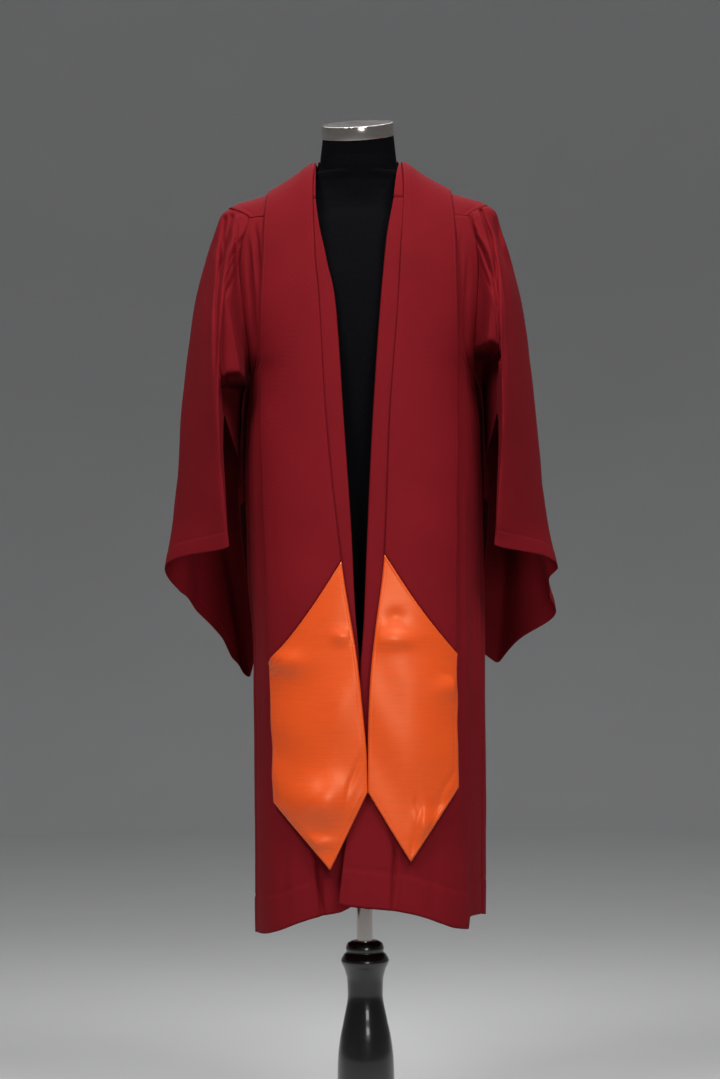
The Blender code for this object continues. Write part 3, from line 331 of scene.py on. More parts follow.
SLEEVE_WAVES = {
    "left": (("corner", "width", "out", "start"), (3.76, 0.09, -0.007, 0.50), (3.53, 0.09, 0.008, 0.55),
             (3.28, 0.10, -0.008, 0.55), (2.50, 0.30, -0.004, 0.05)),
    "right": (("corner", "width", "out", "start"), (3.86, 0.08, -0.010, 0.60), (3.52, 0.13, 0.037, 0.70),
              (2.76, 0.18, -0.022, 0.35), (2.40, 0.25, -0.010, 0.05)),
}

FLUTES = 13
FLUTE_DEPTH_AT_YOKE, FLUTE_DEPTH_AT_HEM = 0.0030, 0.0165
FLUTE_DRIFT, FLUTE_UNEVEN = 0.012, 0.28

# Creases of the satin ends, along lines from (across, down) to (across, down) in shares of the piece.
SATIN_CREASES = {
    "left": (
        ("from_across", "from_down", "to_across", "to_down", "width", "depth"),
        (1.00, 0.03, 0.84, 0.05, 0.010, 0.0012),
        (1.00, 0.07, 0.80, 0.08, 0.012, 0.0016),
        (1.00, 0.11, 0.82, 0.13, 0.012, 0.0012),
        (0.02, 0.80, 0.28, 0.84, 0.030, 0.0010),
    ),
    "right": (
        ("from_across", "from_down", "to_across", "to_down", "width", "depth"),
        (0.47, 0.99, 0.60, 0.82, 0.034, 0.0014),
        (0.62, 0.88, 0.50, 0.76, 0.030, 0.0012),
        (0.98, 0.84, 0.74, 0.90, 0.034, 0.0008),
        (0.98, 0.20, 0.80, 0.20, 0.020, 0.0008),
    ),
}
# Where the satin stands off in soft bulges: the middle as x and height, the reach both ways, and how far.
SATIN_BULGES = {
    "left": (
        ("x", "height", "reach_x", "reach_height", "stand"),
        (-0.0640, 0.5950, 0.0380, 0.0360, 0.0150),
        (-0.1110, 0.8050, 0.0300, 0.0180, 0.0070),
        (-0.0330, 0.8440, 0.0140, 0.0110, 0.0040),
        (-0.0700, 0.5330, 0.0260, 0.0110, 0.0048),
        (-0.0400, 0.7300, 0.0300, 0.0500, 0.0030),
    ),
    "right": (
        ("x", "height", "reach_x", "reach_height", "stand"),
        (0.0480, 0.8400, 0.0340, 0.0140, 0.0048),
        (0.0500, 0.8740, 0.0140, 0.0110, -0.0024),
        (0.1300, 0.7650, 0.0220, 0.0160, 0.0050),
        (0.0860, 0.5600, 0.0120, 0.0240, 0.0044),
        (0.1080, 0.5850, 0.0130, 0.0160, -0.0030),
        (0.0900, 0.6900, 0.0400, 0.0600, 0.0030),
    ),
}

FORM_COVER, FORM_COVER_AT_NECK = 0.0019, 0.0080
SHOULDER_CREST, NECK_FOOT = 1.5200, 1.5650
FORM_BOTTOM = 0.835
FORM = Sections(
    "height half_width front_depth back_depth centre_y roundness",
    (0.835, 0.146, 0.100, 0.104, 0.000, 2.2),
    (0.900, 0.154, 0.108, 0.118, 0.000, 2.2),
    (1.000, 0.149, 0.110, 0.116, 0.000, 2.2),
    (1.100, 0.142, 0.108, 0.108, 0.000, 2.2),
    (1.200, 0.150, 0.114, 0.112, 0.000, 2.2),
    (1.300, 0.161, 0.120, 0.120, 0.000, 2.2),
    (1.380, 0.168, 0.112, 0.118, 0.000, 2.2),
    (1.450, 0.173, 0.090, 0.100, 0.000, 2.2),
    (1.490, 0.176, 0.070, 0.078, 0.000, 2.1),
    (1.510, 0.178, 0.054, 0.060, 0.000, 1.9),
    (1.522, 0.172, 0.052, 0.054, 0.000, 1.5),
    (1.535, 0.130, 0.052, 0.054, -0.001, 1.4),
    (1.550, 0.088, 0.052, 0.054, -0.002, 1.6),
    (1.565, 0.066, 0.054, 0.055, -0.004, 1.9),
    (1.575, 0.061, 0.055, 0.055, -0.006, 2.0),
    (1.640, 0.056, 0.056, 0.056, -0.016, 2.0),
)
FORM_NECK_TOP = 1.590
CAP_RADIUS, CAP_HEIGHT = 0.0565, 0.021
CAP_CENTRE = (0.0, -0.016, 1.6215)
CAP_NOD, CAP_TILT = math.radians(14), math.radians(-3)

COLUMN_TOP, COLUMN_FOOT = 0.360, 0.0403
COLUMN = Sections(
    "height radius",
    (0.360, 0.0210), (0.357, 0.0270), (0.348, 0.0300), (0.343, 0.0292), (0.339, 0.0330), (0.329, 0.0377),
    (0.316, 0.0325), (0.300, 0.0285), (0.276, 0.0277), (0.236, 0.0343), (0.206, 0.0403), (0.176, 0.0437),
    (0.143, 0.0447), (0.110, 0.0420), (0.085, 0.0330), (0.072, 0.0265), (0.062, 0.0260), (0.054, 0.0330),
    (0.048, 0.0400), (0.0403, 0.0415),
)
BASE_RADIUS = 0.200
BASE_PROFILE = (
    ("height", "radius"),
    (0.0000, BASE_RADIUS - 0.0015),
    (0.0015, BASE_RADIUS),
    (0.0130, BASE_RADIUS),
    (0.0165, 0.1965),
    (0.0180, 0.1900),
    (0.0190, 0.1780),
    (0.0260, 0.1100),
    (0.0310, 0.0720),
    (0.0360, 0.0560),
    (0.0400, 0.0520),
)

IMAGE_WIDTH, IMAGE_HEIGHT = 720, 1079
PHOTO_SCALE = 0.001573
CAMERA_DISTANCE, CAMERA_HEIGHT = 4.2, 0.991
CAMERA_X, CAMERA_ROLL = -0.0023, math.radians(0.48)


def smooth_step(value):
    value = np.clip(value, 0, 1)
    return value * value * (3 - 2 * value)


def spaced(line, count):
    """The line's points read again at even steps along it."""
    length = np.concatenate([[0], np.cumsum(np.linalg.norm(np.diff(line, axis=0), axis=1))])
    at = np.linspace(0, length[-1], count)
    return np.stack([np.interp(at, length, line[:, i]) for i in range(line.shape[1])], axis=1)


def normals_of(grid, wrap=False):
    """The unit normal at each point of a grid of rows and columns."""
    down = np.gradient(grid, axis=0)
    if wrap:
        across = np.gradient(np.concatenate([grid[:, -1:], grid, grid[:, :1]], axis=1), axis=1)[:, 1:-1]
    else:
        across = np.gradient(grid, axis=1)
    normal = np.cross(across, down)
    return normal / np.maximum(np.linalg.norm(normal, axis=-1, keepdims=True), 1e-12)


def ripple(u, v, seed, wavelength, waves=7):
    """Gentle unevenness of cloth, from -1 to 1 or so, the same on every run."""
    maker = np.random.default_rng(seed)
    total = 0
    for _ in range(waves):
        turn, phase = maker.uniform(0, math.pi), maker.uniform(0, 2 * math.pi)
        length = wavelength * maker.uniform(0.6, 1.7)
        total = total + np.sin(2 * math.pi * (u * math.cos(turn) + v * math.sin(turn)) / length + phase)
    return total / math.sqrt(waves)


def valley(distance, width):
    """The section of a fold: a valley of depth 1 between two low shoulders."""
    shoulders = np.exp(-(((np.abs(distance) - 2.0 * width) / (1.2 * width)) ** 2))
    return np.exp(-((distance / width) ** 2)) - 0.22 * shoulders


def line_crease(across, down, crease):
    """A valley along a straight line in two coordinates that fades out at both ends."""
    start_across, start_down, end_across, end_down, width, depth = crease
    along_across, along_down = end_across - start_across, end_down - start_down
    length = math.hypot(along_across, along_down)
    share = ((across - start_across) * along_across + (down - start_down) * along_down) / length**2
    side = ((across - start_across) * along_down - (down - start_down) * along_across) / length
    return depth * valley(side, width) * smooth_step(share / 0.25) * smooth_step((1 - share) / 0.35)


def ridge_height(x):
    return RIDGE("height", np.abs(x))


def gown_round(side, height, back):
    """How square the level section is on this side: 2 is an ellipse."""
    front = np.where(np.asarray(side) < 0, GOWN("left_round", height), GOWN("right_round", height))
    return GOWN("back_round", height) + 0 * front if back else front


def gown_point(angle, height, back):
    """The gown's middle surface on the level section at this height. The angle runs from 0 at the centre to a
    quarter turn at the side seam, and is negative on the left."""
    roundness = gown_round(angle, height, back)
    half_width, centre = GOWN("half_width", height), GOWN("centre_x", height)
    x = centre + half_width * np.sign(angle) * np.abs(np.sin(angle)) ** (2 / roundness)
    drop = np.maximum(ridge_height(x) - height, 0)
    depth = GOWN("back_depth" if back else "front_depth", height)
    y = depth * np.tanh(SHOULDER_FALL * np.sqrt(drop)) * np.abs(np.cos(angle))
    return np.stack([x, y if back else -y, height + 0 * x], axis=-1)


def angle_at(x, height, back):
    """The angle that gown_point needs to come out at x."""
    share = (x - GOWN("centre_x", height)) / GOWN("half_width", height)
    roundness = gown_round(share, height, back)
    return np.sign(share) * np.arcsin(np.minimum(np.abs(share), 1) ** (roundness / 2))


def shoulder_point(x, sigma):
    """The same surface near the shoulders: sigma is the square root of the drop below the ridge, and is
    negative in front and positive behind."""
    x, sigma = np.broadcast_arrays(np.asarray(x, float), np.asarray(sigma, float))
    height = ridge_height(x) - sigma**2
    front = gown_point(angle_at(x, height, False), height, False)
    behind = gown_point(angle_at(x, height, True), height, True)
    return np.where((sigma > 0)[..., None], behind, front)


def sigma_at(x, height):
    return np.sqrt(np.maximum(ridge_height(x) - height, 0))


def armhole_angle(side, height, back):
    x = GOWN("centre_x", height) + side * ARMHOLE("back_x" if back else "front_x", height)
    return np.where(height > UNDERARM_HEIGHT, angle_at(x, height, back), side * math.pi / 2)


def yoke_corner(name):
    """Where the yoke's front seam meets the free edge of this front, as x and sigma."""
    x = FRONT_EDGE[name]("x", YOKE_FRONT_AT_NECK)
    for _ in range(6):
        x = FRONT_EDGE[name]("x", front_seam_height(x))
    return x, -sigma_at(x, front_seam_height(x))


def yoke_front_seam():
    """The two ends of the yoke's front seam, as x and sigma."""
    neck_x = FRONT_EDGE["right"]("x", YOKE_FRONT_AT_NECK)
    sleeve_x = ARMHOLE("front_x", YOKE_FRONT_AT_SLEEVE)
    return (neck_x, -sigma_at(neck_x, YOKE_FRONT_AT_NECK)), (sleeve_x, -sigma_at(sleeve_x, YOKE_FRONT_AT_SLEEVE))


def front_seam_height(x):
    (neck_x, neck_sigma), (sleeve_x, sleeve_sigma) = yoke_front_seam()
    sigma = np.interp(np.abs(x), [neck_x, sleeve_x], [neck_sigma, sleeve_sigma])
    return ridge_height(x) - sigma**2


def hem_band(above_hem, depth, turn):
    """The double cloth of a hem, and the stitched line along its upper edge."""
    stitched = np.exp(-(((above_hem - depth) / 0.0016) ** 2))
    return turn * smooth_step((depth - above_hem) / 0.003) - 1.6 * turn * stitched


def edge_roll(distance, reach=0.0035, drop=0.0016):
    """How far a turned edge bends in towards what it lies on."""
    return drop * np.clip(1 - distance / reach, 0, 1) ** 2


def cloth_mesh(name, grid, finish, wall, wrap=False):
    """A thin wall of cloth on a grid of points, with a map in metres along the cloth."""
    rows, columns = grid.shape[:2]
    across = columns if wrap else columns - 1
    row, column = np.meshgrid(np.arange(rows - 1), np.arange(across), indexing="ij")
    after = (column + 1) % columns
    faces = np.stack(
        [row * columns + column, (row + 1) * columns + column, (row + 1) * columns + after, row * columns + after], -1
    ).reshape(-1, 4)
    mesh = bpy.data.meshes.new(name)
    mesh.vertices.add(rows * columns)
    mesh.vertices.foreach_set("co", grid.reshape(-1).astype(np.float32))
    mesh.loops.add(faces.size)
    mesh.loops.foreach_set("vertex_index", faces.reshape(-1).astype(np.int32))
    mesh.polygons.add(len(faces))
    mesh.polygons.foreach_set("loop_start", np.arange(0, faces.size, 4, dtype=np.int32))
    mesh.update(calc_edges=True)

    closed = np.concatenate([grid, grid[:, :1]], axis=1) if wrap else grid
    over = np.linalg.norm(np.diff(closed, axis=1), axis=-1).mean(axis=0)
    under = np.linalg.norm(np.diff(closed, axis=0), axis=-1).mean(axis=1)
    u = np.concatenate([[0], np.cumsum(over)])
    v = np.concatenate([[0], -np.cumsum(under)])
    corners = np.stack(
        [u[column], v[row], u[column], v[row + 1], u[column + 1], v[row + 1], u[column + 1], v[row]], -1
    ).reshape(-1)
    layer = mesh.uv_layers.new(name="cloth")
    layer.data.foreach_set("uv", corners.astype(np.float32))

    mesh.materials.append(finish)
    mesh.shade_smooth()
    made = bpy.data.objects.new(name, mesh)
    bpy.context.scene.collection.objects.link(made)
    thickness = made.modifiers.new("wall", "SOLIDIFY")
    thickness.thickness = wall
    thickness.offset = 0
    bpy.ops.object.select_all(action="DESELECT")
    bpy.context.view_layer.objects.active = made
    made.select_set(True)
    bpy.ops.object.modifier_apply(modifier="wall")
    return made


def dress(piece, node):
    """Put a cloth piece in its solid's place, and hide the solid."""
    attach(piece, ROOT_BODY)
    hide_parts(node)


def stand_in(piece, node):
    """Put a hard piece in its solid's place."""
    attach(piece, ROOT_BODY)
    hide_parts(node)


# Fronts and back


def front_folds(share, height):
    pressed = 0
    for centre, width, depth, low, high in FRONT_FOLDS[1:]:
        shown = smooth_step((height - low) / 0.15) * smooth_step((high - height) / 0.12)
        pressed = pressed + depth * np.exp(-(((share - centre) / width) ** 2)) * shown
    return pressed


def front_step(name, x, height):
    step = FRONT_STEPS[name]
    run = (step["top"] - height) / (step["top"] - HEM_HEIGHT)
    across = x - step["place"] + step["drift"] * (1 - run)
    inner = 1 - smooth_step(0.5 + across / step["width"] * (1 if name == "right" else -1))
    return step["forward"] * inner * smooth_step(run)


def front_grid(name, hem_depth, rows=250, columns=120, fine=400):
    side = -1 if name == "left" else 1
    across = np.linspace(0, 1, fine)
    top = YOKE_FRONT_AT_NECK + (YOKE_FRONT_AT_SLEEVE - YOKE_FRONT_AT_NECK) * across
    for _ in range(8):
        first, last = angle_at(side * FRONT_EDGE[name]("x", top), top, False), armhole_angle(side, top, False)
        top = front_seam_height(gown_point(first + (last - first) * across, top, False)[:, 0]) - SEAM
    first = angle_at(side * FRONT_EDGE[name]("x", HEM_HEIGHT), HEM_HEIGHT, False)
    foot = gown_point(first + (side * math.pi / 2 - first) * across, HEM_HEIGHT, False)
    further = (CAMERA_DISTANCE + foot[:, 1]) / CAMERA_DISTANCE
    hem = CAMERA_HEIGHT + (FRONT_HEM[name]("height", foot[:, 0] / further) - CAMERA_HEIGHT) * further
    grid = []
    for down in np.linspace(0, 1, rows):
        height = top + (hem - top) * down
        edge = angle_at(side * FRONT_EDGE[name]("x", height), height, False)
        end = armhole_angle(side, height, False)
        grid.append(spaced(gown_point(edge + (end - edge) * across, height, False), columns))
    grid = np.array(grid)
    share = np.linspace(0, 1, columns)[None, :]
    height = grid[..., 2]
    outward = -side * normals_of(grid)
    relief = -front_folds(share, height)
    for crease in FRONT_CREASES[name][1:]:
        top_x, top_z, foot_x, foot_z, width, depth = crease
        relief = relief - line_crease(grid[..., 0], height, (top_x, top_z, foot_x, foot_z, width, depth))
    relief = relief + 0.0005 * ripple(share * 0.25, height, 3 + side, 0.16)
    relief = relief + hem_band(height - height[-1:, :], hem_depth, 0.0006)
    from_edge = np.linalg.norm(grid - grid[:, :1], axis=-1)
    relief = relief - edge_roll(from_edge) - 0.0004 * np.exp(-(((from_edge - 0.006) / 0.0014) ** 2))
    grid = grid + outward * relief[..., None]
    grid[..., 1] -= front_step(name, grid[..., 0], height)
    if name == "left":
        under = smooth_step((0.90 - height) / 0.14) * smooth_step((grid[..., 0] + 0.110) / 0.05)
        grid[..., 1] += 0.0085 * under
    else:
        strip = smooth_step((grid[..., 0] - 0.1575) / 0.006) * smooth_step((0.1855 - grid[..., 0]) / 0.006)
        grid[..., 1] += 0.0080 * strip * smooth_step((1.08 - height) / 0.30)
    return grid


def flute_depth(share, down, even_share):
    place = even_share + FLUTE_DRIFT * np.sin(2 * math.pi * (2.3 * even_share + 0.35 * down))
    size = 1 + FLUTE_UNEVEN * np.sin(2 * math.pi * (3.1 * share + 0.2)) * down
    ends = smooth_step(share / 0.05) * smooth_step((1 - share) / 0.05)
    inward = 1 - smooth_step(np.minimum(share, 1 - share) / 0.26)
    depth = FLUTE_DEPTH_AT_YOKE + (FLUTE_DEPTH_AT_HEM - FLUTE_DEPTH_AT_YOKE) * smooth_step(0.15 + 0.85 * down)
    wave = -np.cos(2 * math.pi * FLUTES * place) - inward
    return depth * size * ends * smooth_step(down / 0.02) * wave


def back_grid(hem_depth, rows=130, columns=340, fine=900):
    across = np.linspace(0, 1, fine)
    downs = np.linspace(0, 1, rows)
    hem = BACK_HEM("height", across)
    grid = []
    for down in downs:
        height = (YOKE_BACK_HEIGHT - SEAM) * (1 - down) + hem * down
        left, right = armhole_angle(-1, height, True), armhole_angle(1, height, True)
        grid.append(spaced(gown_point(left + (right - left) * across, height, True), columns))
    grid = np.array(grid)
    share, down = np.linspace(0, 1, columns)[None, :], downs[:, None]
    reach = np.linalg.norm(np.diff(grid, axis=1), axis=-1).sum(axis=1)
    even_reach = np.polyval(np.polyfit(downs, reach, 3), downs)
    even_share = 0.5 + (share - 0.5) * (reach / even_reach)[:, None]
    relief = flute_depth(share, down, even_share)
    gathers = np.sin(2 * math.pi * FLUTES * 3 * share + 1.3 * np.sin(9 * share)) * smooth_step(share / 0.06)
    relief = relief + 0.0011 * gathers * np.exp(-down / 0.05) * smooth_step((1 - share) / 0.06)
    relief = relief + 0.0006 * ripple(share * 0.9, down * 1.05, 11, 0.14)
    relief = relief + hem_band(grid[..., 2] - grid[-1:, :, 2], hem_depth, 0.0004)
    return grid + normals_of(grid) * relief[..., None]


# Yoke and neckband


def yoke_grid(seam_columns=34, back_columns=20, front_columns=16, rows=44):
    corner = ARMHOLE("back_x", YOKE_BACK_HEIGHT)
    armhole_back = np.linspace(YOKE_BACK_HEIGHT, ARMHOLE_TOP, back_columns + 1)[1:]
    armhole_front = np.linspace(ARMHOLE_TOP, YOKE_FRONT_AT_SLEEVE, front_columns + 1)[1:]
    outer = [(x, sigma_at(x, YOKE_BACK_HEIGHT)) for x in np.linspace(0, corner, seam_columns)]
    outer += [(ARMHOLE("back_x", z), sigma_at(ARMHOLE("back_x", z), z)) for z in armhole_back]
    outer += [(ARMHOLE("front_x", z), -sigma_at(ARMHOLE("front_x", z), z)) for z in armhole_front]
    turns = np.linspace(0, math.pi / 2, seam_columns + back_columns)
    neck = [(NECK_HALF_WIDTH * math.sin(a), NECK_BACK_SIGMA * math.cos(a)) for a in turns]
    halves = []
    for name in ("left", "right"):
        edge_x, edge_sigma = yoke_corner(name)
        down = np.linspace(0, 1, front_columns + 1)[1:]
        inner = neck + [(NECK_HALF_WIDTH + (edge_x - NECK_HALF_WIDTH) * share, edge_sigma * share) for share in down]
        shares = np.linspace(0, 1, rows)[:, None, None]
        flat = np.array(inner)[None] * (1 - shares) + np.array(outer)[None] * shares
        halves.append(shoulder_point(flat[..., 0], flat[..., 1]))
    grid = np.concatenate([halves[0][:, :0:-1] * np.array([-1, 1, 1]), halves[1]], axis=1)
    to_seam = np.linalg.norm(grid - grid[-1:], axis=-1)
    relief = 0.0006 * smooth_step((0.009 - to_seam) / 0.002) - 0.0008 * np.exp(-(((to_seam - 0.0085) / 0.0012) ** 2))
    relief = relief + 0.0004 * ripple(grid[..., 0], grid[..., 1], 5, 0.09)
    return grid + normals_of(grid) * relief[..., None]


def neckband_grid(rise, lean, columns=140, rows=12):
    turns = np.linspace(-math.pi / 2, math.pi / 2, columns)
    foot = shoulder_point(NECK_HALF_WIDTH * np.sin(turns), NECK_BACK_SIGMA * np.cos(turns))[:, 2]
    height = NECKBAND_SIDE_RISE + (rise - NECKBAND_SIDE_RISE) * np.cos(turns) ** 0.7
    grid = []
    for share in np.linspace(0, 1, rows):
        x = (NECK_HALF_WIDTH - 0.0027 - lean * share) * np.sin(turns)
        y = 0.0615 * np.cos(turns) - 0.004 * share
        grid.append(np.stack([x, y, foot - 0.004 + height * share], axis=1))
    return np.array(grid)


# Stole


def stole_surface(name, across, sigma):
    side, edges = (-1 if name == "left" else 1), STOLE[name]
    height = 1.55 - sigma**2
    for _ in range(12):
        x = edges("inner_x", height) * (1 - across) + edges("outer_x", height) * across
        height = ridge_height(x) - sigma**2
    return shoulder_point(side * x, sigma)


def end_sigma(name, across, height):
    edges = STOLE[name]
    x = edges("inner_x", height) * (1 - across) + edges("outer_x", height) * across
    return -np.sqrt(np.maximum(ridge_height(x) - height, 0))


def hanging_lift(height):
    return STOLE_LIFT + (STOLE_LIFT_AT_POINT - STOLE_LIFT) * smooth_step((1.25 - height) / 0.75)


def stole_band_grid(name, columns=64, back_rows=60, front_rows=230):
    side, shape = (-1 if name == "left" else 1), STOLE_END[name]
    across = np.linspace(0, 1, columns)
    grid = []
    for turn in np.linspace(0, math.pi / 2, back_rows, endpoint=False):
        x = (STOLE[name]("inner_x", 1.578) * (1 - across) + STOLE[name]("outer_x", 1.540) * across) * math.sin(turn)
        drop = STOLE_BACK_DROP_INNER * (1 - across) + STOLE_BACK_DROP_OUTER * across
        grid.append(shoulder_point(side * x, drop * math.cos(turn)))
    seam = end_sigma(name, across, shape["seam_inner"] * (1 - across) + shape["seam_outer"] * across)
    for share in np.linspace(0, 1, front_rows):
        grid.append(stole_surface(name, across, -1e-4 + seam * share))
    grid = np.array(grid)
    width = np.linalg.norm(grid[:, -1] - grid[:, 0], axis=-1)[:, None]
    from_edge = np.minimum(across[None, :], 1 - across[None, :]) * width
    lift = hanging_lift(grid[..., 2]) - edge_roll(from_edge)
    lift = lift - 0.0004 * np.exp(-(((from_edge - 0.0065) / 0.0015) ** 2))
    lift = lift + 0.0007 * ripple(across[None, :] * 0.1, grid[..., 2], 21 + side, 0.17)
    to_seam = np.linalg.norm(grid - grid[-1:], axis=-1)
    lift = lift - 0.0009 * np.exp(-((to_seam / 0.003) ** 2))
    made = grid - side * normals_of(grid) * lift[..., None]
    made[0, :, 0] = side * SEAM / 4
    return made


def satin_end_grid(name, columns=110, rows=130):
    side, shape = (-1 if name == "left" else 1), STOLE_END[name]
    tip = round(shape["point_share"] * (columns - 1))
    across = np.concatenate(
        [np.linspace(0, shape["point_share"], tip + 1), np.linspace(shape["point_share"], 1, columns - tip)[1:]]
    )
    top = shape["seam_inner"] * (1 - across) + shape["seam_outer"] * across - SEAM
    low = np.interp(across, [0, shape["point_share"], 1], [shape["low_inner"], shape["point"], shape["low_outer"]])
    grid = []
    for share in np.linspace(0, 1, rows):
        grid.append(stole_surface(name, across, end_sigma(name, across, top + (low - top) * share)))
    grid = np.array(grid)
    down = np.linspace(0, 1, rows)[:, None] + 0 * across[None, :]
    over = across[None, :] + 0 * down
    width = np.linalg.norm(grid[:, -1] - grid[:, 0], axis=-1)[:, None]
    to_side = np.minimum(over, 1 - over) * width
    to_point = np.linalg.norm(grid - grid[-1:], axis=-1) * 0.62
    from_edge = np.minimum(to_side, to_point)
    to_seam = np.linalg.norm(grid - grid[:1], axis=-1) * 0.7
    lift = hanging_lift(grid[..., 2]) - edge_roll(from_edge, 0.003, 0.0014)
    lift = lift + 0.0002 * np.exp(-(((from_edge - 0.0030) / 0.0016) ** 2))
    lift = lift - 0.0002 * np.exp(-(((from_edge - 0.0055) / 0.0014) ** 2))
    lift = lift + 0.0009 * np.exp(-((to_seam / 0.0020) ** 2))
    for x, height, reach_x, reach_height, stand in SATIN_BULGES[name][1:]:
        away = ((grid[..., 0] - x) / reach_x) ** 2 + ((grid[..., 2] - height) / reach_height) ** 2
        lift = lift + stand * np.exp(-away) * smooth_step(from_edge / 0.012)
    for crease in SATIN_CREASES[name][1:]:
        lift = lift - line_crease(over, down, crease)
    lift = lift + 0.0012 * ripple(over * 0.14, down * 0.35, 31 + side, 0.150)
    return grid - side * normals_of(grid) * lift[..., None]


# Sleeves


def armhole_point(side, corner):
    heights = np.linspace(ARMHOLE.keys[0], UNDERARM_HEIGHT, 300)
    front_line = gown_point(armhole_angle(side, heights, False), heights, False)
    back_line = gown_point(armhole_angle(side, heights, True), heights, True)
    loop = np.concatenate([spaced(front_line, 201), spaced(back_line, 201)[::-1][1:]])
    loop[:, 0] *= side
    loop[:, 0] += ARMHOLE_GAP + UNDERARM_STANDOFF * smooth_step((1.30 - loop[:, 2]) / 0.06)
    return np.stack([np.interp(corner, np.linspace(0, 4, len(loop)), loop[:, i]) for i in range(3)], axis=-1)


def corner_track(name, side, corner_name, share):
    own = SLEEVE_BACK[name]
    if corner_name == "back":
        track = np.stack([own(axis, share) for axis in "xyz"], axis=-1)
    else:
        column = SLEEVE[0].index(corner_name)
        keys = [row[0] for row in SLEEVE[1:]]
        track = np.stack([smooth_curve(keys, [row[column][i] for row in SLEEVE[1:]], share) for i in range(3)], -1)
    if corner_name == "outer":
        track[..., 0] += own("outer", share)
    if corner_name == "inner":
        track[..., 0] += side * GOWN("centre_x", track[..., 2])
    return track


def sleeve_section(name, side, corner, share):
    names = (*SLEEVE[0][1:], "back")
    tracks = [corner_track(name, side, each, share) for each in names]
    pulls = [SLEEVE_PULL[each] * (tracks[(i + 1) % 4] - tracks[i - 1]) / 2 for i, each in enumerate(names)]
    start = np.floor(corner).astype(int) % 4
    t = (corner - np.floor(corner))[..., None]
    point = 0
    for i in range(4):
        after = (i + 1) % 4
        piece = (2 * t**3 - 3 * t**2 + 1) * tracks[i] + (t**3 - 2 * t**2 + t) * pulls[i]
        piece = piece + (3 * t**2 - 2 * t**3) * tracks[after] + (t**3 - t**2) * pulls[after]
        point = point + np.where((start == i)[..., None], piece, 0)
    return point


def sleeve_point(name, corner, share):
    side = -1 if name == "left" else 1
    joined = (1 - smooth_step(share / SLEEVE_JOINS_BY))[..., None]
    start = armhole_point(side, corner) - sleeve_section(name, side, corner, 0 * share)
    return sleeve_section(name, side, corner, share) + start * joined


def sleeve_hang(name, grid, corner, share):
    """The cloth folds under the arm in front, and the sleeve's inner side lies against the gown behind it."""
    x, y, height = grid[..., 0], grid[..., 1], grid[..., 2]
    above = smooth_step((height - UNDERARM_FOLD[name] + 0.006) / 0.012) * smooth_step((share - 0.03) / 0.08)
    above = above * smooth_step((corner - 0.95) / 0.15) * smooth_step((2.10 - corner) / 0.12)
    y = y + above * (np.minimum(y, UNDERARM_FOLD_Y) - y)
    below = smooth_step((UNDERARM_FOLD[name] - height) / 0.012) * smooth_step((corner - 1.00) / 0.16)
    y = y + 0.085 * below * smooth_step((2.10 - corner) / 0.40)
    side = -1 if name == "left" else 1
    depth = GOWN("back_depth", height) * np.tanh(SHOULDER_FALL * np.sqrt(np.maximum(ridge_height(x) - height, 0)))
    roundness = GOWN("back_round", height)
    inside = np.maximum(1 - np.clip(y / np.maximum(depth, 1e-6), 0, 1) ** roundness, 0) ** (1 / roundness)
    gown_x = GOWN("half_width", height) * inside + side * GOWN("centre_x", height)
    close = smooth_step((corner - 2.05) / 0.25) * smooth_step((2.95 - corner) / 0.30) * smooth_step((share - 0.05) / 0.12)
    nearest = gown_x + BEHIND_GAP + 0.006 * smooth_step((1.22 - height) / 0.25)
    x = x + close * (np.minimum(x, np.maximum(nearest, 0.172)) - x)
    x = np.where((corner > 2.1) & (height < 1.22), np.maximum(x, nearest), x)
    return np.stack([x, y, height], axis=-1)


def around(corner, centre):
    return (corner - centre + 2) % 4 - 2


def sleeve_creases(corner, share):
    out = 0
    for begin, finish, width, depth, start, end in SLEEVE_CREASES[1:]:
        run = np.clip((share - start) / (end - start), 0, 1)
        shown = smooth_step((share - start + 0.01) / 0.03) * smooth_step((end - share) / (0.7 * (end - start)))
        centre = begin + (finish - begin) * run**0.8
        out = out - depth * valley(around(corner, centre), width) * shown
    return out


def sleeve_waves(name, corner, share):
    out = 0
    for centre, width, stand, start in SLEEVE_WAVES[name][1:]:
        shown = smooth_step((share - start) / (1 - start))
        out = out + stand * np.exp(-((around(corner, centre) / width) ** 2)) * shown
    return out


def sleeve_folds(name, grid, corner, share):
    """The valleys of the folds in front, drawn where the camera sees them."""
    nearer = CAMERA_DISTANCE / (CAMERA_DISTANCE + grid[..., 1])
    out = grid[..., 0] * nearer
    height = CAMERA_HEIGHT + (grid[..., 2] - CAMERA_HEIGHT) * nearer
    relief = 0
    for fold in SLEEVE_FOLDS[name]:
        top, foot = max(fold.keys), min(fold.keys)
        shown = smooth_step((top + 0.008 - height) / 0.008) * (height > foot)
        relief = relief - fold("depth", height) * valley(out - fold("out", height), fold("width", height)) * shown
    return relief * front_of_sleeve(corner) * smooth_step(share / 0.012)


def front_of_sleeve(corner):
    return np.maximum(smooth_step((1.25 - corner) / 0.20), smooth_step((corner - 3.80) / 0.10))


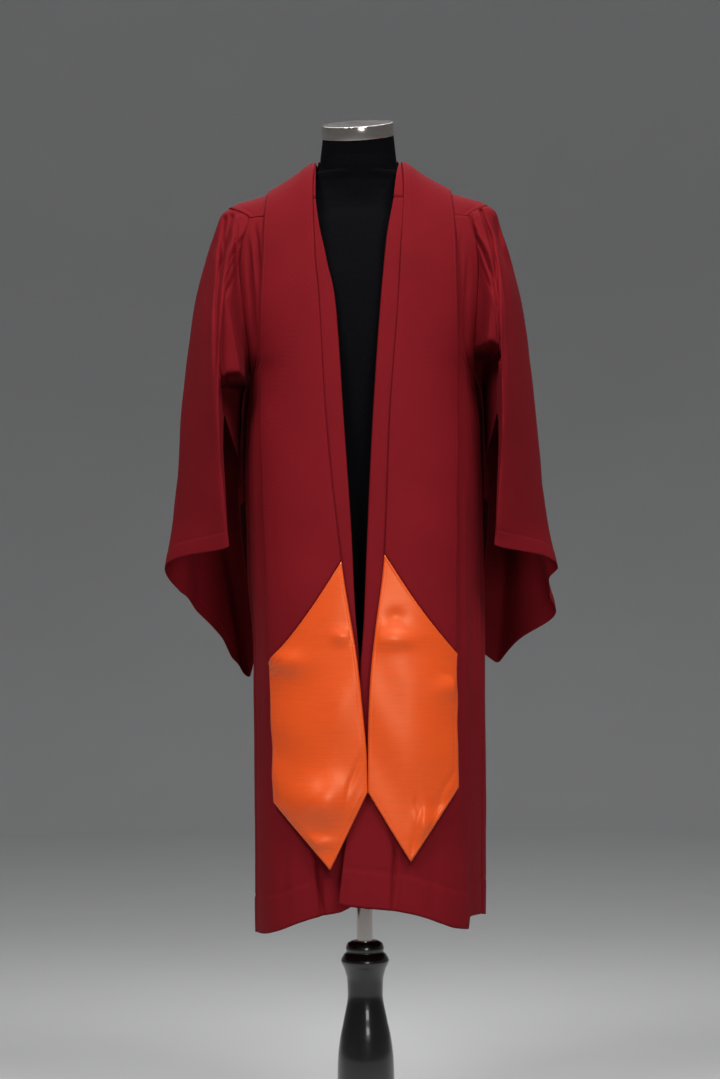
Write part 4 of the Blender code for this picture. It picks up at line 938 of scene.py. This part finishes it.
def sleeve_grid(name, hem_depth, rows=165, columns=(118, 38, 42, 88)):
    shares = np.linspace(0, 1, rows)
    corners = np.concatenate([start + np.arange(count) / count for start, count in enumerate(columns)])
    corner, share = np.meshgrid(corners, shares)
    share = share * SLEEVE_MOUTH[name]("end", corner)
    grid = sleeve_point(name, corner, share)
    grid[..., 0] += sleeve_waves(name, corner, share)
    grid = sleeve_hang(name, grid, corner, share)
    outward = normals_of(grid, wrap=True)
    relief = -sleeve_creases(corner, share) * (1 - 0.80 * front_of_sleeve(corner))
    folded_back = -1.5 * sleeve_folds(name, grid, corner, share)
    relief = relief + 0.0007 * ripple(corner * 0.12, share * 0.7, 41 if name == "left" else 43, 0.15)
    to_hem = np.linalg.norm(grid - grid[-1:], axis=-1)
    relief = relief + hem_band(to_hem, hem_depth, 0.0004)
    grid = grid + outward * relief[..., None]
    grid[..., 1] += folded_back
    if name == "left":
        grid = (grid * np.array([-1, 1, 1]))[:, ::-1]
    return grid


# Dress form


def form_half_width(height):
    reach = np.linspace(0.066, 0.182, 200)
    cover = FORM_COVER + FORM_COVER_AT_NECK * smooth_step((0.150 - reach) / 0.060)
    under = np.interp(-height, cover - ridge_height(reach), reach)
    at_shoulder = (height > SHOULDER_CREST) & (height < NECK_FOOT)
    return np.where(at_shoulder, np.minimum(under, 0.182), FORM("half_width", height))


def form_ring(height, sides):
    turns = (np.arange(sides) + 0.5) / sides * 2 * math.pi
    power = 2 / FORM("roundness", height)
    depth = np.where(np.sin(turns) < 0, FORM("front_depth", height), FORM("back_depth", height))
    x = float(form_half_width(np.array(height))) * np.sign(np.cos(turns)) * np.abs(np.cos(turns)) ** power
    y = FORM("centre_y", height) + depth * np.sign(np.sin(turns)) * np.abs(np.sin(turns)) ** power
    return np.stack([x, y, height + 0 * turns], axis=1)


def cap_ring(radius, lift, sides):
    """A ring about the neck cap's tilted axis."""
    turns = (np.arange(sides) + 0.5) / sides * 2 * math.pi
    ring = np.stack([radius * np.cos(turns), radius * np.sin(turns), lift + 0 * turns], axis=1)
    nod, tilt = CAP_NOD, CAP_TILT
    turn_x = np.array([[1, 0, 0], [0, math.cos(nod), -math.sin(nod)], [0, math.sin(nod), math.cos(nod)]])
    turn_y = np.array([[math.cos(tilt), 0, math.sin(tilt)], [0, 1, 0], [-math.sin(tilt), 0, math.cos(tilt)]])
    return ring @ (turn_y @ turn_x).T + np.array(CAP_CENTRE)


def closed_skin(name, rings, finish):
    """A smooth closed body skinned over rings of points."""
    rings = np.asarray(rings)
    count, sides = rings.shape[:2]
    faces = [
        (r * sides + c, r * sides + (c + 1) % sides, (r + 1) * sides + (c + 1) % sides, (r + 1) * sides + c)
        for r in range(count - 1)
        for c in range(sides)
    ]
    faces.append(tuple(range(sides))[::-1])
    faces.append(tuple((count - 1) * sides + c for c in range(sides)))
    mesh = bpy.data.meshes.new(name)
    mesh.from_pydata([tuple(point) for point in rings.reshape(-1, 3)], [], faces)
    mesh.materials.append(finish)
    mesh.shade_smooth()
    mesh.set_sharp_from_angle(angle=math.radians(50))
    made = bpy.data.objects.new(name, mesh)
    bpy.context.scene.collection.objects.link(made)
    return made


def form_torso(finish, sides=96):
    heights = np.concatenate([np.linspace(FORM_BOTTOM, 1.45, 60), np.linspace(1.455, FORM_NECK_TOP, 60)])
    rings = [form_ring(height, sides) for height in heights]
    top = cap_ring(CAP_RADIUS - 0.0008, -0.0003, sides)
    rings += [rings[-1] * (1 - share) + top * share for share in np.linspace(0, 1, 14)[1:]]
    return closed_skin("form_torso", rings, finish)


# Finishes


class Finish:
    """A procedural material, with short calls for the nodes that it needs."""

    def __init__(self, name, colour, roughness, metallic=0.0):
        self.material = bpy.data.materials.new(name)
        self.material.use_nodes = True
        self.nodes, self.links = self.material.node_tree.nodes, self.material.node_tree.links
        self.shader = self.nodes["Principled BSDF"]
        self.shader.inputs["Base Color"].default_value = (*colour, 1)
        self.shader.inputs["Roughness"].default_value = roughness
        self.shader.inputs["Metallic"].default_value = metallic
        self.material.diffuse_color = (*colour, 1)
        self.where = self.nodes.new("ShaderNodeTexCoord")

    def put(self, value, socket):
        if isinstance(value, bpy.types.NodeSocket):
            self.links.new(value, socket)
        else:
            socket.default_value = value

    def mapped(self, coordinates, scale=(1, 1, 1), turn=0.0):
        node = self.nodes.new("ShaderNodeMapping")
        self.links.new(self.where.outputs[coordinates], node.inputs["Vector"])
        node.inputs["Scale"].default_value = scale
        node.inputs["Rotation"].default_value = (0, 0, turn)
        return node.outputs["Vector"]

    def noise(self, vector, scale, detail=3.0, roughness=0.5):
        node = self.nodes.new("ShaderNodeTexNoise")
        self.links.new(vector, node.inputs["Vector"])
        node.inputs["Scale"].default_value = scale
        node.inputs["Detail"].default_value = detail
        node.inputs["Roughness"].default_value = roughness
        return node.outputs["Fac"]

    def bands(self, vector, scale, distortion=0.0):
        node = self.nodes.new("ShaderNodeTexWave")
        node.wave_type = "BANDS"
        node.bands_direction = "X"
        self.links.new(vector, node.inputs["Vector"])
        node.inputs["Scale"].default_value = scale
        node.inputs["Distortion"].default_value = distortion
        return node.outputs["Fac"]

    def ramp(self, value, low, high, dark, light):
        """A colour that goes from dark to light as the value goes from low to high."""
        node = self.nodes.new("ShaderNodeValToRGB")
        self.links.new(value, node.inputs["Fac"])
        node.color_ramp.elements[0].position = low
        node.color_ramp.elements[0].color = (*dark, 1)
        node.color_ramp.elements[1].position = high
        node.color_ramp.elements[1].color = (*light, 1)
        return node.outputs["Color"]

    def sum(self, first, second, kind="ADD"):
        node = self.nodes.new("ShaderNodeMath")
        node.operation = kind
        self.put(first, node.inputs[0])
        self.put(second, node.inputs[1])
        return node.outputs["Value"]

    def bump(self, height, strength, distance, under=None):
        node = self.nodes.new("ShaderNodeBump")
        self.links.new(height, node.inputs["Height"])
        node.inputs["Strength"].default_value = strength
        node.inputs["Distance"].default_value = distance
        if under is not None:
            self.links.new(under, node.inputs["Normal"])
        return node.outputs["Normal"]

    def set(self, socket, value):
        self.put(value, self.shader.inputs[socket])


def shade(colour, by):
    return tuple(channel * by for channel in colour)


def twill_finish(name, colour):
    """Matt burgundy twill: fine slanting ribs, a little mottled, with a faint sheen."""
    made = Finish(name, colour, 0.80)
    fibre = made.noise(made.mapped("UV", (1, 1, 1)), 900, 2.0)
    patches = made.noise(made.mapped("Object"), 7, 3.0)
    cloud = made.sum(made.sum(fibre, 0.55, "MULTIPLY"), made.sum(patches, 0.45, "MULTIPLY"))
    made.set("Base Color", made.ramp(cloud, 0.32, 0.68, shade(colour, 0.82), shade(colour, 1.16)))
    ribs = made.bands(made.mapped("UV", (1, 1, 1), math.radians(52)), 210, 0.4)
    fine = made.bump(ribs, 0.35, 0.0004)
    made.set("Normal", made.bump(fibre, 0.30, 0.0006, fine))
    made.set("Sheen Weight", 0.025)
    made.set("Sheen Roughness", 0.40)
    made.set("Sheen Tint", (0.75, 0.20, 0.24, 1))
    made.set("Specular IOR Level", 0.09)
    return made.material


def satin_finish(name, colour):
    """Orange satin: fine uneven ribs that run level, and a broad soft gloss."""
    made = Finish(name, colour, 0.33)
    slub = made.noise(made.mapped("Object", (26, 26, 850)), 1.0, 2.0, 0.6)
    thread = made.noise(made.mapped("Object", (90, 90, 2200)), 1.0, 1.0)
    weave = made.sum(made.sum(slub, 0.7, "MULTIPLY"), made.sum(thread, 0.3, "MULTIPLY"))
    made.set("Base Color", made.ramp(weave, 0.30, 0.70, shade(colour, 0.90), shade(colour, 1.06)))
    made.set("Normal", made.bump(weave, 0.22, 0.0004))
    made.set("Sheen Weight", 0.10)
    made.set("Sheen Roughness", 0.35)
    made.set("Sheen Tint", (1.0, 0.55, 0.30, 1))
    made.set("Specular IOR Level", 0.95)
    made.set("Specular Tint", (1.0, 0.62, 0.38, 1))
    return made.material


def jersey_finish(name, colour):
    """Matt black knitted cover of the dress form."""
    made = Finish(name, colour, 0.95)
    knit = made.bands(made.mapped("Object", (1, 1, 1)), 260, 0.6)
    lint = made.noise(made.mapped("Object"), 500, 2.0)
    made.set("Base Color", made.ramp(lint, 0.35, 0.75, shade(colour, 0.8), shade(colour, 1.5)))
    made.set("Normal", made.bump(made.sum(knit, lint), 0.25, 0.0004))
    made.set("Specular IOR Level", 0.03)
    return made.material


def chrome_finish(name, colour):
    """Polished chrome with faint hairlines."""
    made = Finish(name, colour, 0.09, 1.0)
    hair = made.noise(made.mapped("Object", (1, 1, 14)), 60, 3.0)
    made.set("Roughness", made.ramp(hair, 0.3, 0.8, (0.10,) * 3, (0.20,) * 3))
    return made.material


def lacquer_finish(name, colour):
    """Glossy black lacquer on turned wood."""
    made = Finish(name, colour, 0.22)
    grain = made.noise(made.mapped("Object", (1, 1, 0.12)), 90, 4.0, 0.6)
    made.set("Base Color", made.ramp(grain, 0.35, 0.75, shade(colour, 0.75), shade(colour, 1.6)))
    made.set("Normal", made.bump(grain, 0.05, 0.0005))
    made.set("Coat Weight", 0.55)
    made.set("Coat Roughness", 0.06)
    return made.material


def plain_finish(name, colour, roughness):
    made = Finish(name, colour, roughness)
    mottle = made.noise(made.mapped("Object"), 3, 2.0)
    made.set("Base Color", made.ramp(mottle, 0.3, 0.7, shade(colour, 0.99), shade(colour, 1.01)))
    return made.material


def finish_named(name, maker, colour):
    """The finish of this name, made the first time that it is asked for."""
    found = bpy.data.materials.get(name)
    return found or maker(name, tuple(colour))


# Hard pieces, modelled as by hand


def start_piece(add, name, **size):
    """Add a primitive with nothing else selected, and give it its name."""
    if bpy.context.object and bpy.context.object.mode != "OBJECT":
        bpy.ops.object.mode_set(mode="OBJECT")
    bpy.ops.object.select_all(action="DESELECT")
    add(**size)
    made = bpy.context.object
    made.name = name
    made.data.name = name
    return made


def finish_piece(made, finish, angle=40):
    bpy.ops.object.mode_set(mode="OBJECT")
    bpy.ops.object.transform_apply(location=True, rotation=True, scale=True)
    made.data.materials.clear()
    made.data.materials.append(finish)
    bpy.ops.object.shade_smooth_by_angle(angle=math.radians(angle))
    return made


def turned_piece(name, profile, finish, sides=96, angle=40):
    """A piece turned on a lathe: a disc that is extruded up ring by ring."""
    height, radius = profile[0]
    made = start_piece(
        bpy.ops.mesh.primitive_circle_add, name, vertices=sides, radius=radius, fill_type="NGON",
        location=(0, 0, height),
    )
    bpy.ops.object.mode_set(mode="EDIT")
    bpy.ops.mesh.select_all(action="SELECT")
    for next_height, next_radius in profile[1:]:
        bpy.ops.mesh.extrude_region_move(TRANSFORM_OT_translate={"value": (0, 0, next_height - height)})
        scale = next_radius / radius
        bpy.ops.transform.resize(value=(scale, scale, 1), center_override=(0, 0, next_height))
        height, radius = next_height, next_radius
    bpy.ops.mesh.select_all(action="SELECT")
    bpy.ops.mesh.normals_make_consistent(inside=False)
    return finish_piece(made, finish, angle)


def neck_cap(finish, rim):
    """A chrome drum with eased edges and a rim inset round its flat lid."""
    made = start_piece(
        bpy.ops.mesh.primitive_cylinder_add, "form_neck_cap", vertices=128, radius=CAP_RADIUS, depth=CAP_HEIGHT,
        location=(0, 0, CAP_HEIGHT / 2), end_fill_type="NGON",
    )
    bpy.ops.object.transform_apply(location=True, rotation=True, scale=True)
    bpy.ops.object.mode_set(mode="EDIT")
    bpy.ops.mesh.select_all(action="DESELECT")
    bpy.ops.object.mode_set(mode="OBJECT")
    for face in made.data.polygons:
        face.select = face.normal.z > 0.9
    bpy.ops.object.mode_set(mode="EDIT")
    bpy.ops.mesh.select_mode(type="FACE")
    bpy.ops.mesh.inset(thickness=rim, depth=0)
    bpy.ops.object.mode_set(mode="OBJECT")
    ease = made.modifiers.new("eased edges", "BEVEL")
    ease.width, ease.segments, ease.limit_method = 0.0012, 3, "ANGLE"
    ease.angle_limit = math.radians(50)
    bpy.ops.object.modifier_apply(modifier="eased edges")
    made.rotation_euler = (CAP_NOD, CAP_TILT, 0)
    made.location = CAP_CENTRE
    return finish_piece(made, finish, 30)


# Settings


class GownSettings(bpy.types.PropertyGroup):
    cloth_colour: bpy.props.FloatVectorProperty(
        name="Cloth colour", description="Colour of the gown's twill", subtype="COLOR", size=3,
        default=(0.160, 0.0047, 0.0086), min=0, max=1,
    )
    wall: bpy.props.FloatProperty(
        name="Cloth thickness", description="Thickness of the gown's cloth", unit="LENGTH", default=0.0009,
        min=0.0003, max=0.002,
    )
    hem_depth: bpy.props.FloatProperty(
        name="Hem depth", description="How deep the gown's hem is turned up", unit="LENGTH", default=0.057,
        min=0.01, max=0.12,
    )
    sleeve_hem_depth: bpy.props.FloatProperty(
        name="Sleeve hem depth", description="How deep the sleeves' hems are turned up", unit="LENGTH",
        default=0.025, min=0.01, max=0.08,
    )
    neckband_rise: bpy.props.FloatProperty(
        name="Neckband height", description="Height of the band round the neck", unit="LENGTH", default=0.020,
        min=0.005, max=0.04,
    )


class StoleSettings(bpy.types.PropertyGroup):
    satin_colour: bpy.props.FloatVectorProperty(
        name="Satin colour", description="Colour of the stole's pointed ends", subtype="COLOR", size=3,
        default=(0.72, 0.078, 0.010), min=0, max=1,
    )
    wall: bpy.props.FloatProperty(
        name="Stole thickness", description="Thickness of the stole, which is two layers of cloth",
        unit="LENGTH", default=0.0016, min=0.0005, max=0.003,
    )


class FormSettings(bpy.types.PropertyGroup):
    jersey_colour: bpy.props.FloatVectorProperty(
        name="Jersey colour", description="Colour of the dress form's cover", subtype="COLOR", size=3,
        default=(0.0028, 0.0028, 0.0036), min=0, max=1,
    )
    chrome_colour: bpy.props.FloatVectorProperty(
        name="Chrome colour", description="Colour of the neck cap and the pole", subtype="COLOR", size=3,
        default=(0.78, 0.71, 0.66), min=0, max=1,
    )
    rim: bpy.props.FloatProperty(
        name="Cap rim", description="Width of the rim round the neck cap's lid", unit="LENGTH", default=0.0025,
        min=0.001, max=0.01,
    )


class StandSettings(bpy.types.PropertyGroup):
    lacquer_colour: bpy.props.FloatVectorProperty(
        name="Lacquer colour", description="Colour of the turned stand", subtype="COLOR", size=3,
        default=(0.0060, 0.0055, 0.0055), min=0, max=1,
    )
    pole_radius: bpy.props.FloatProperty(
        name="Pole radius", description="Radius of the chrome pole", unit="LENGTH", default=0.0125, min=0.005,
        max=0.02,
    )


class StageSettings(bpy.types.PropertyGroup):
    floor_colour: bpy.props.FloatVectorProperty(
        name="Floor colour", description="Colour of the floor and the backdrop", subtype="COLOR", size=3,
        default=(0.58, 0.58, 0.58), min=0, max=1,
    )
    key_power: bpy.props.FloatProperty(
        name="Key light", description="Power of the large light in front, on the left", unit="POWER", default=22,
        min=0,
    )
    fill_power: bpy.props.FloatProperty(
        name="Fill light", description="Power of the large light in front, on the right", unit="POWER",
        default=21, min=0,
    )


# Operators


class GOWN_OT_yoke(bpy.types.Operator):
    """Build the yoke, with both shoulders, and the neckband"""

    bl_idname = "gown.yoke"
    bl_label = "Yoke and neckband"

    def execute(self, context):
        gown = context.scene.gown
        twill = finish_named("burgundy twill", twill_finish, gown.cloth_colour)
        yoke = cloth_mesh("gown_yoke", yoke_grid(), twill, gown.wall)
        dress(yoke, "yoke")
        band = cloth_mesh("gown_neckband", neckband_grid(gown.neckband_rise, 0.0015), twill, 0.0014)
        dress(band, "neckband")
        return {"FINISHED"}


class GOWN_OT_body(bpy.types.Operator):
    """Build the two fronts and the fluted back"""

    bl_idname = "gown.body"
    bl_label = "Fronts and back"

    def execute(self, context):
        gown = context.scene.gown
        twill = finish_named("burgundy twill", twill_finish, gown.cloth_colour)
        for name, flat in (("left", (0.245, 1.12)), ("right", (0.26, 1.12))):
            piece = cloth_mesh(f"gown_front_{name}", front_grid(name, gown.hem_depth), twill, gown.wall)
            dress(piece, f"front_{name}")
        piece = cloth_mesh("gown_back", back_grid(gown.hem_depth), twill, gown.wall)
        dress(piece, "back")
        return {"FINISHED"}


class GOWN_OT_sleeves(bpy.types.Operator):
    """Build the two wide sleeves, gathered into the armholes"""

    bl_idname = "gown.sleeves"
    bl_label = "Sleeves"

    def execute(self, context):
        gown = context.scene.gown
        twill = finish_named("burgundy twill", twill_finish, gown.cloth_colour)
        for name in ("left", "right"):
            grid = sleeve_grid(name, gown.sleeve_hem_depth)
            piece = cloth_mesh(f"gown_sleeve_{name}", grid, twill, gown.wall, wrap=True)
            dress(piece, f"sleeve_{name}")
        return {"FINISHED"}


class GOWN_OT_stole(bpy.types.Operator):
    """Build the stole that lies round the neck, and its satin ends"""

    bl_idname = "gown.stole"
    bl_label = "Stole"

    def execute(self, context):
        stole = context.scene.stole
        twill = finish_named("burgundy twill", twill_finish, context.scene.gown.cloth_colour)
        satin = finish_named("orange satin", satin_finish, stole.satin_colour)
        for name in ("left", "right"):
            band = cloth_mesh(f"stole_band_{name}", stole_band_grid(name), twill, stole.wall)
            dress(band, f"stole_{name}")
            end = cloth_mesh(f"stole_satin_{name}", satin_end_grid(name), satin, stole.wall)
            dress(end, f"stole_end_{name}")
        return {"FINISHED"}


class GOWN_OT_dress_form(bpy.types.Operator):
    """Build the dress form: its torso with the neck, and the neck cap"""

    bl_idname = "gown.dress_form"
    bl_label = "Dress form"

    def execute(self, context):
        form = context.scene.dress_form
        jersey = finish_named("black jersey", jersey_finish, form.jersey_colour)
        chrome = finish_named("polished chrome", chrome_finish, form.chrome_colour)
        stand_in(form_torso(jersey), "form_body")
        stand_in(neck_cap(chrome, form.rim), "neck_cap")
        return {"FINISHED"}


class GOWN_OT_stand(bpy.types.Operator):
    """Build the pole, the turned column and the round base"""

    bl_idname = "gown.stand"
    bl_label = "Stand"

    def execute(self, context):
        stand = context.scene.stand
        chrome = finish_named("polished chrome", chrome_finish, context.scene.dress_form.chrome_colour)
        lacquer = finish_named("black lacquer", lacquer_finish, stand.lacquer_colour)
        reach = stand.pole_radius
        pole = turned_piece("stand_pole", [(POLE_FOOT, reach), (POLE_TOP, reach)], chrome, 64)
        stand_in(pole, "pole")
        heights = np.unique(np.concatenate([np.linspace(COLUMN_FOOT, COLUMN_TOP, 90), COLUMN.keys]))
        profile = [(float(height), float(COLUMN("radius", height))) for height in heights]
        profile += [(COLUMN_TOP, reach + 0.0003), (COLUMN_TOP - 0.0597, reach + 0.0003)]
        stand_in(turned_piece("stand_column", profile, lacquer), "stand_column")
        base = turned_piece("stand_base", list(BASE_PROFILE[1:]), lacquer, 128)
        stand_in(base, "stand_base")
        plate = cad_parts["form_base_plate"]
        for slot in plate.material_slots:
            slot.material = lacquer
        return {"FINISHED"}


class GOWN_OT_stage(bpy.types.Operator):
    """Build the floor with its backdrop, the lights and the camera"""

    bl_idname = "gown.stage"
    bl_label = "Studio"

    def execute(self, context):
        stage = context.scene.stage
        pale = finish_named("pale studio floor", lambda name, colour: plain_finish(name, colour, 0.9),
                            stage.floor_colour)
        floor = start_piece(
            bpy.ops.mesh.primitive_circle_add, "studio_floor", vertices=96, radius=7, fill_type="NGON",
        )
        bpy.ops.object.mode_set(mode="EDIT")
        bpy.ops.mesh.select_all(action="SELECT")
        bpy.ops.mesh.extrude_region_move(TRANSFORM_OT_translate={"value": (0, 0, 6)})
        bpy.ops.mesh.delete(type="ONLY_FACE")
        bpy.ops.object.mode_set(mode="OBJECT")
        for face in floor.data.polygons:
            face.select = False
        finish_piece(floor, pale)
        bend = floor.modifiers.new("bend", "BEVEL")
        bend.width, bend.segments, bend.limit_method = 2.0, 16, "ANGLE"
        bend.angle_limit = math.radians(40)
        bpy.ops.object.modifier_apply(modifier="bend")

        for name, power, size, place in (
            ("key_light", stage.key_power, 1.2, (-1.3, -2.1, 4.0)),
            ("fill_light", stage.fill_power, 1.2, (1.3, -2.1, 4.0)),
            ("low_light", 3.5, 0.9, (0.7, -3.4, 1.5)),
            ("top_light", 10, 2.0, (0.0, 1.8, 3.6)),
        ):
            light = bpy.data.lights.new(name, "AREA")
            light.energy, light.size = power, size
            light.spread = math.radians(80)
            lamp = bpy.data.objects.new(name, light)
            context.scene.collection.objects.link(lamp)
            lamp.location = place
            aim = np.array([0.0, 0.0, 1.0]) - np.array(place)
            yaw, fall = math.atan2(aim[1], aim[0]), math.atan2(aim[2], math.hypot(aim[0], aim[1]))
            lamp.rotation_euler = (math.pi / 2 + fall, 0, yaw - math.pi / 2)

        world = bpy.data.worlds.new("studio")
        world.use_nodes = True
        world.node_tree.nodes["Background"].inputs["Color"].default_value = (0.80, 0.81, 0.83, 1)
        world.node_tree.nodes["Background"].inputs["Strength"].default_value = 0.34
        context.scene.world = world
        context.scene.view_settings.view_transform = "Standard"

        lens = bpy.data.cameras.new("camera")
        lens.sensor_fit = "VERTICAL"
        lens.sensor_height = 24
        lens.lens = 12 * CAMERA_DISTANCE / (PHOTO_SCALE * IMAGE_HEIGHT / 2)
        camera = bpy.data.objects.new("camera", lens)
        context.scene.collection.objects.link(camera)
        camera.location = (CAMERA_X, -CAMERA_DISTANCE, CAMERA_HEIGHT)
        camera.rotation_euler = (math.pi / 2, CAMERA_ROLL, 0)
        context.scene.camera = camera
        return {"FINISHED"}


class VIEW3D_PT_gown(bpy.types.Panel):
    """List the gown's settings and the buttons that build it"""

    bl_idname = "VIEW3D_PT_gown"
    bl_label = "Graduation gown"
    bl_space_type = "VIEW_3D"
    bl_region_type = "UI"
    bl_category = "Gown"

    def draw(self, context):
        scene = context.scene
        groups = (
            (scene.gown, ("gown.yoke", "gown.body", "gown.sleeves")),
            (scene.stole, ("gown.stole",)),
            (scene.dress_form, ("gown.dress_form",)),
            (scene.stand, ("gown.stand",)),
            (scene.stage, ("gown.stage",)),
        )
        for settings, operators in groups:
            box = self.layout.box()
            for key in settings.__annotations__:
                box.prop(settings, key)
            for operator in operators:
                box.operator(operator)


SETTINGS = (
    ("gown", GownSettings),
    ("stole", StoleSettings),
    ("dress_form", FormSettings),
    ("stand", StandSettings),
    ("stage", StageSettings),
)
OPERATORS = (
    GOWN_OT_yoke, GOWN_OT_body, GOWN_OT_sleeves, GOWN_OT_stole, GOWN_OT_dress_form, GOWN_OT_stand, GOWN_OT_stage,
)


def register():
    for name, group in SETTINGS:
        bpy.utils.register_class(group)
        setattr(bpy.types.Scene, name, bpy.props.PointerProperty(type=group))
    for operator in (*OPERATORS, VIEW3D_PT_gown):
        bpy.utils.register_class(operator)


def unregister():
    for operator in (VIEW3D_PT_gown, *reversed(OPERATORS)):
        bpy.utils.unregister_class(operator)
    for name, group in reversed(SETTINGS):
        delattr(bpy.types.Scene, name)
        bpy.utils.unregister_class(group)


def main():
    register()
    bpy.ops.gown.stage()
    bpy.ops.gown.yoke()
    bpy.ops.gown.body()
    bpy.ops.gown.sleeves()
    bpy.ops.gown.stole()
    bpy.ops.gown.dress_form()
    bpy.ops.gown.stand()


if __name__ == "__main__":
    main()
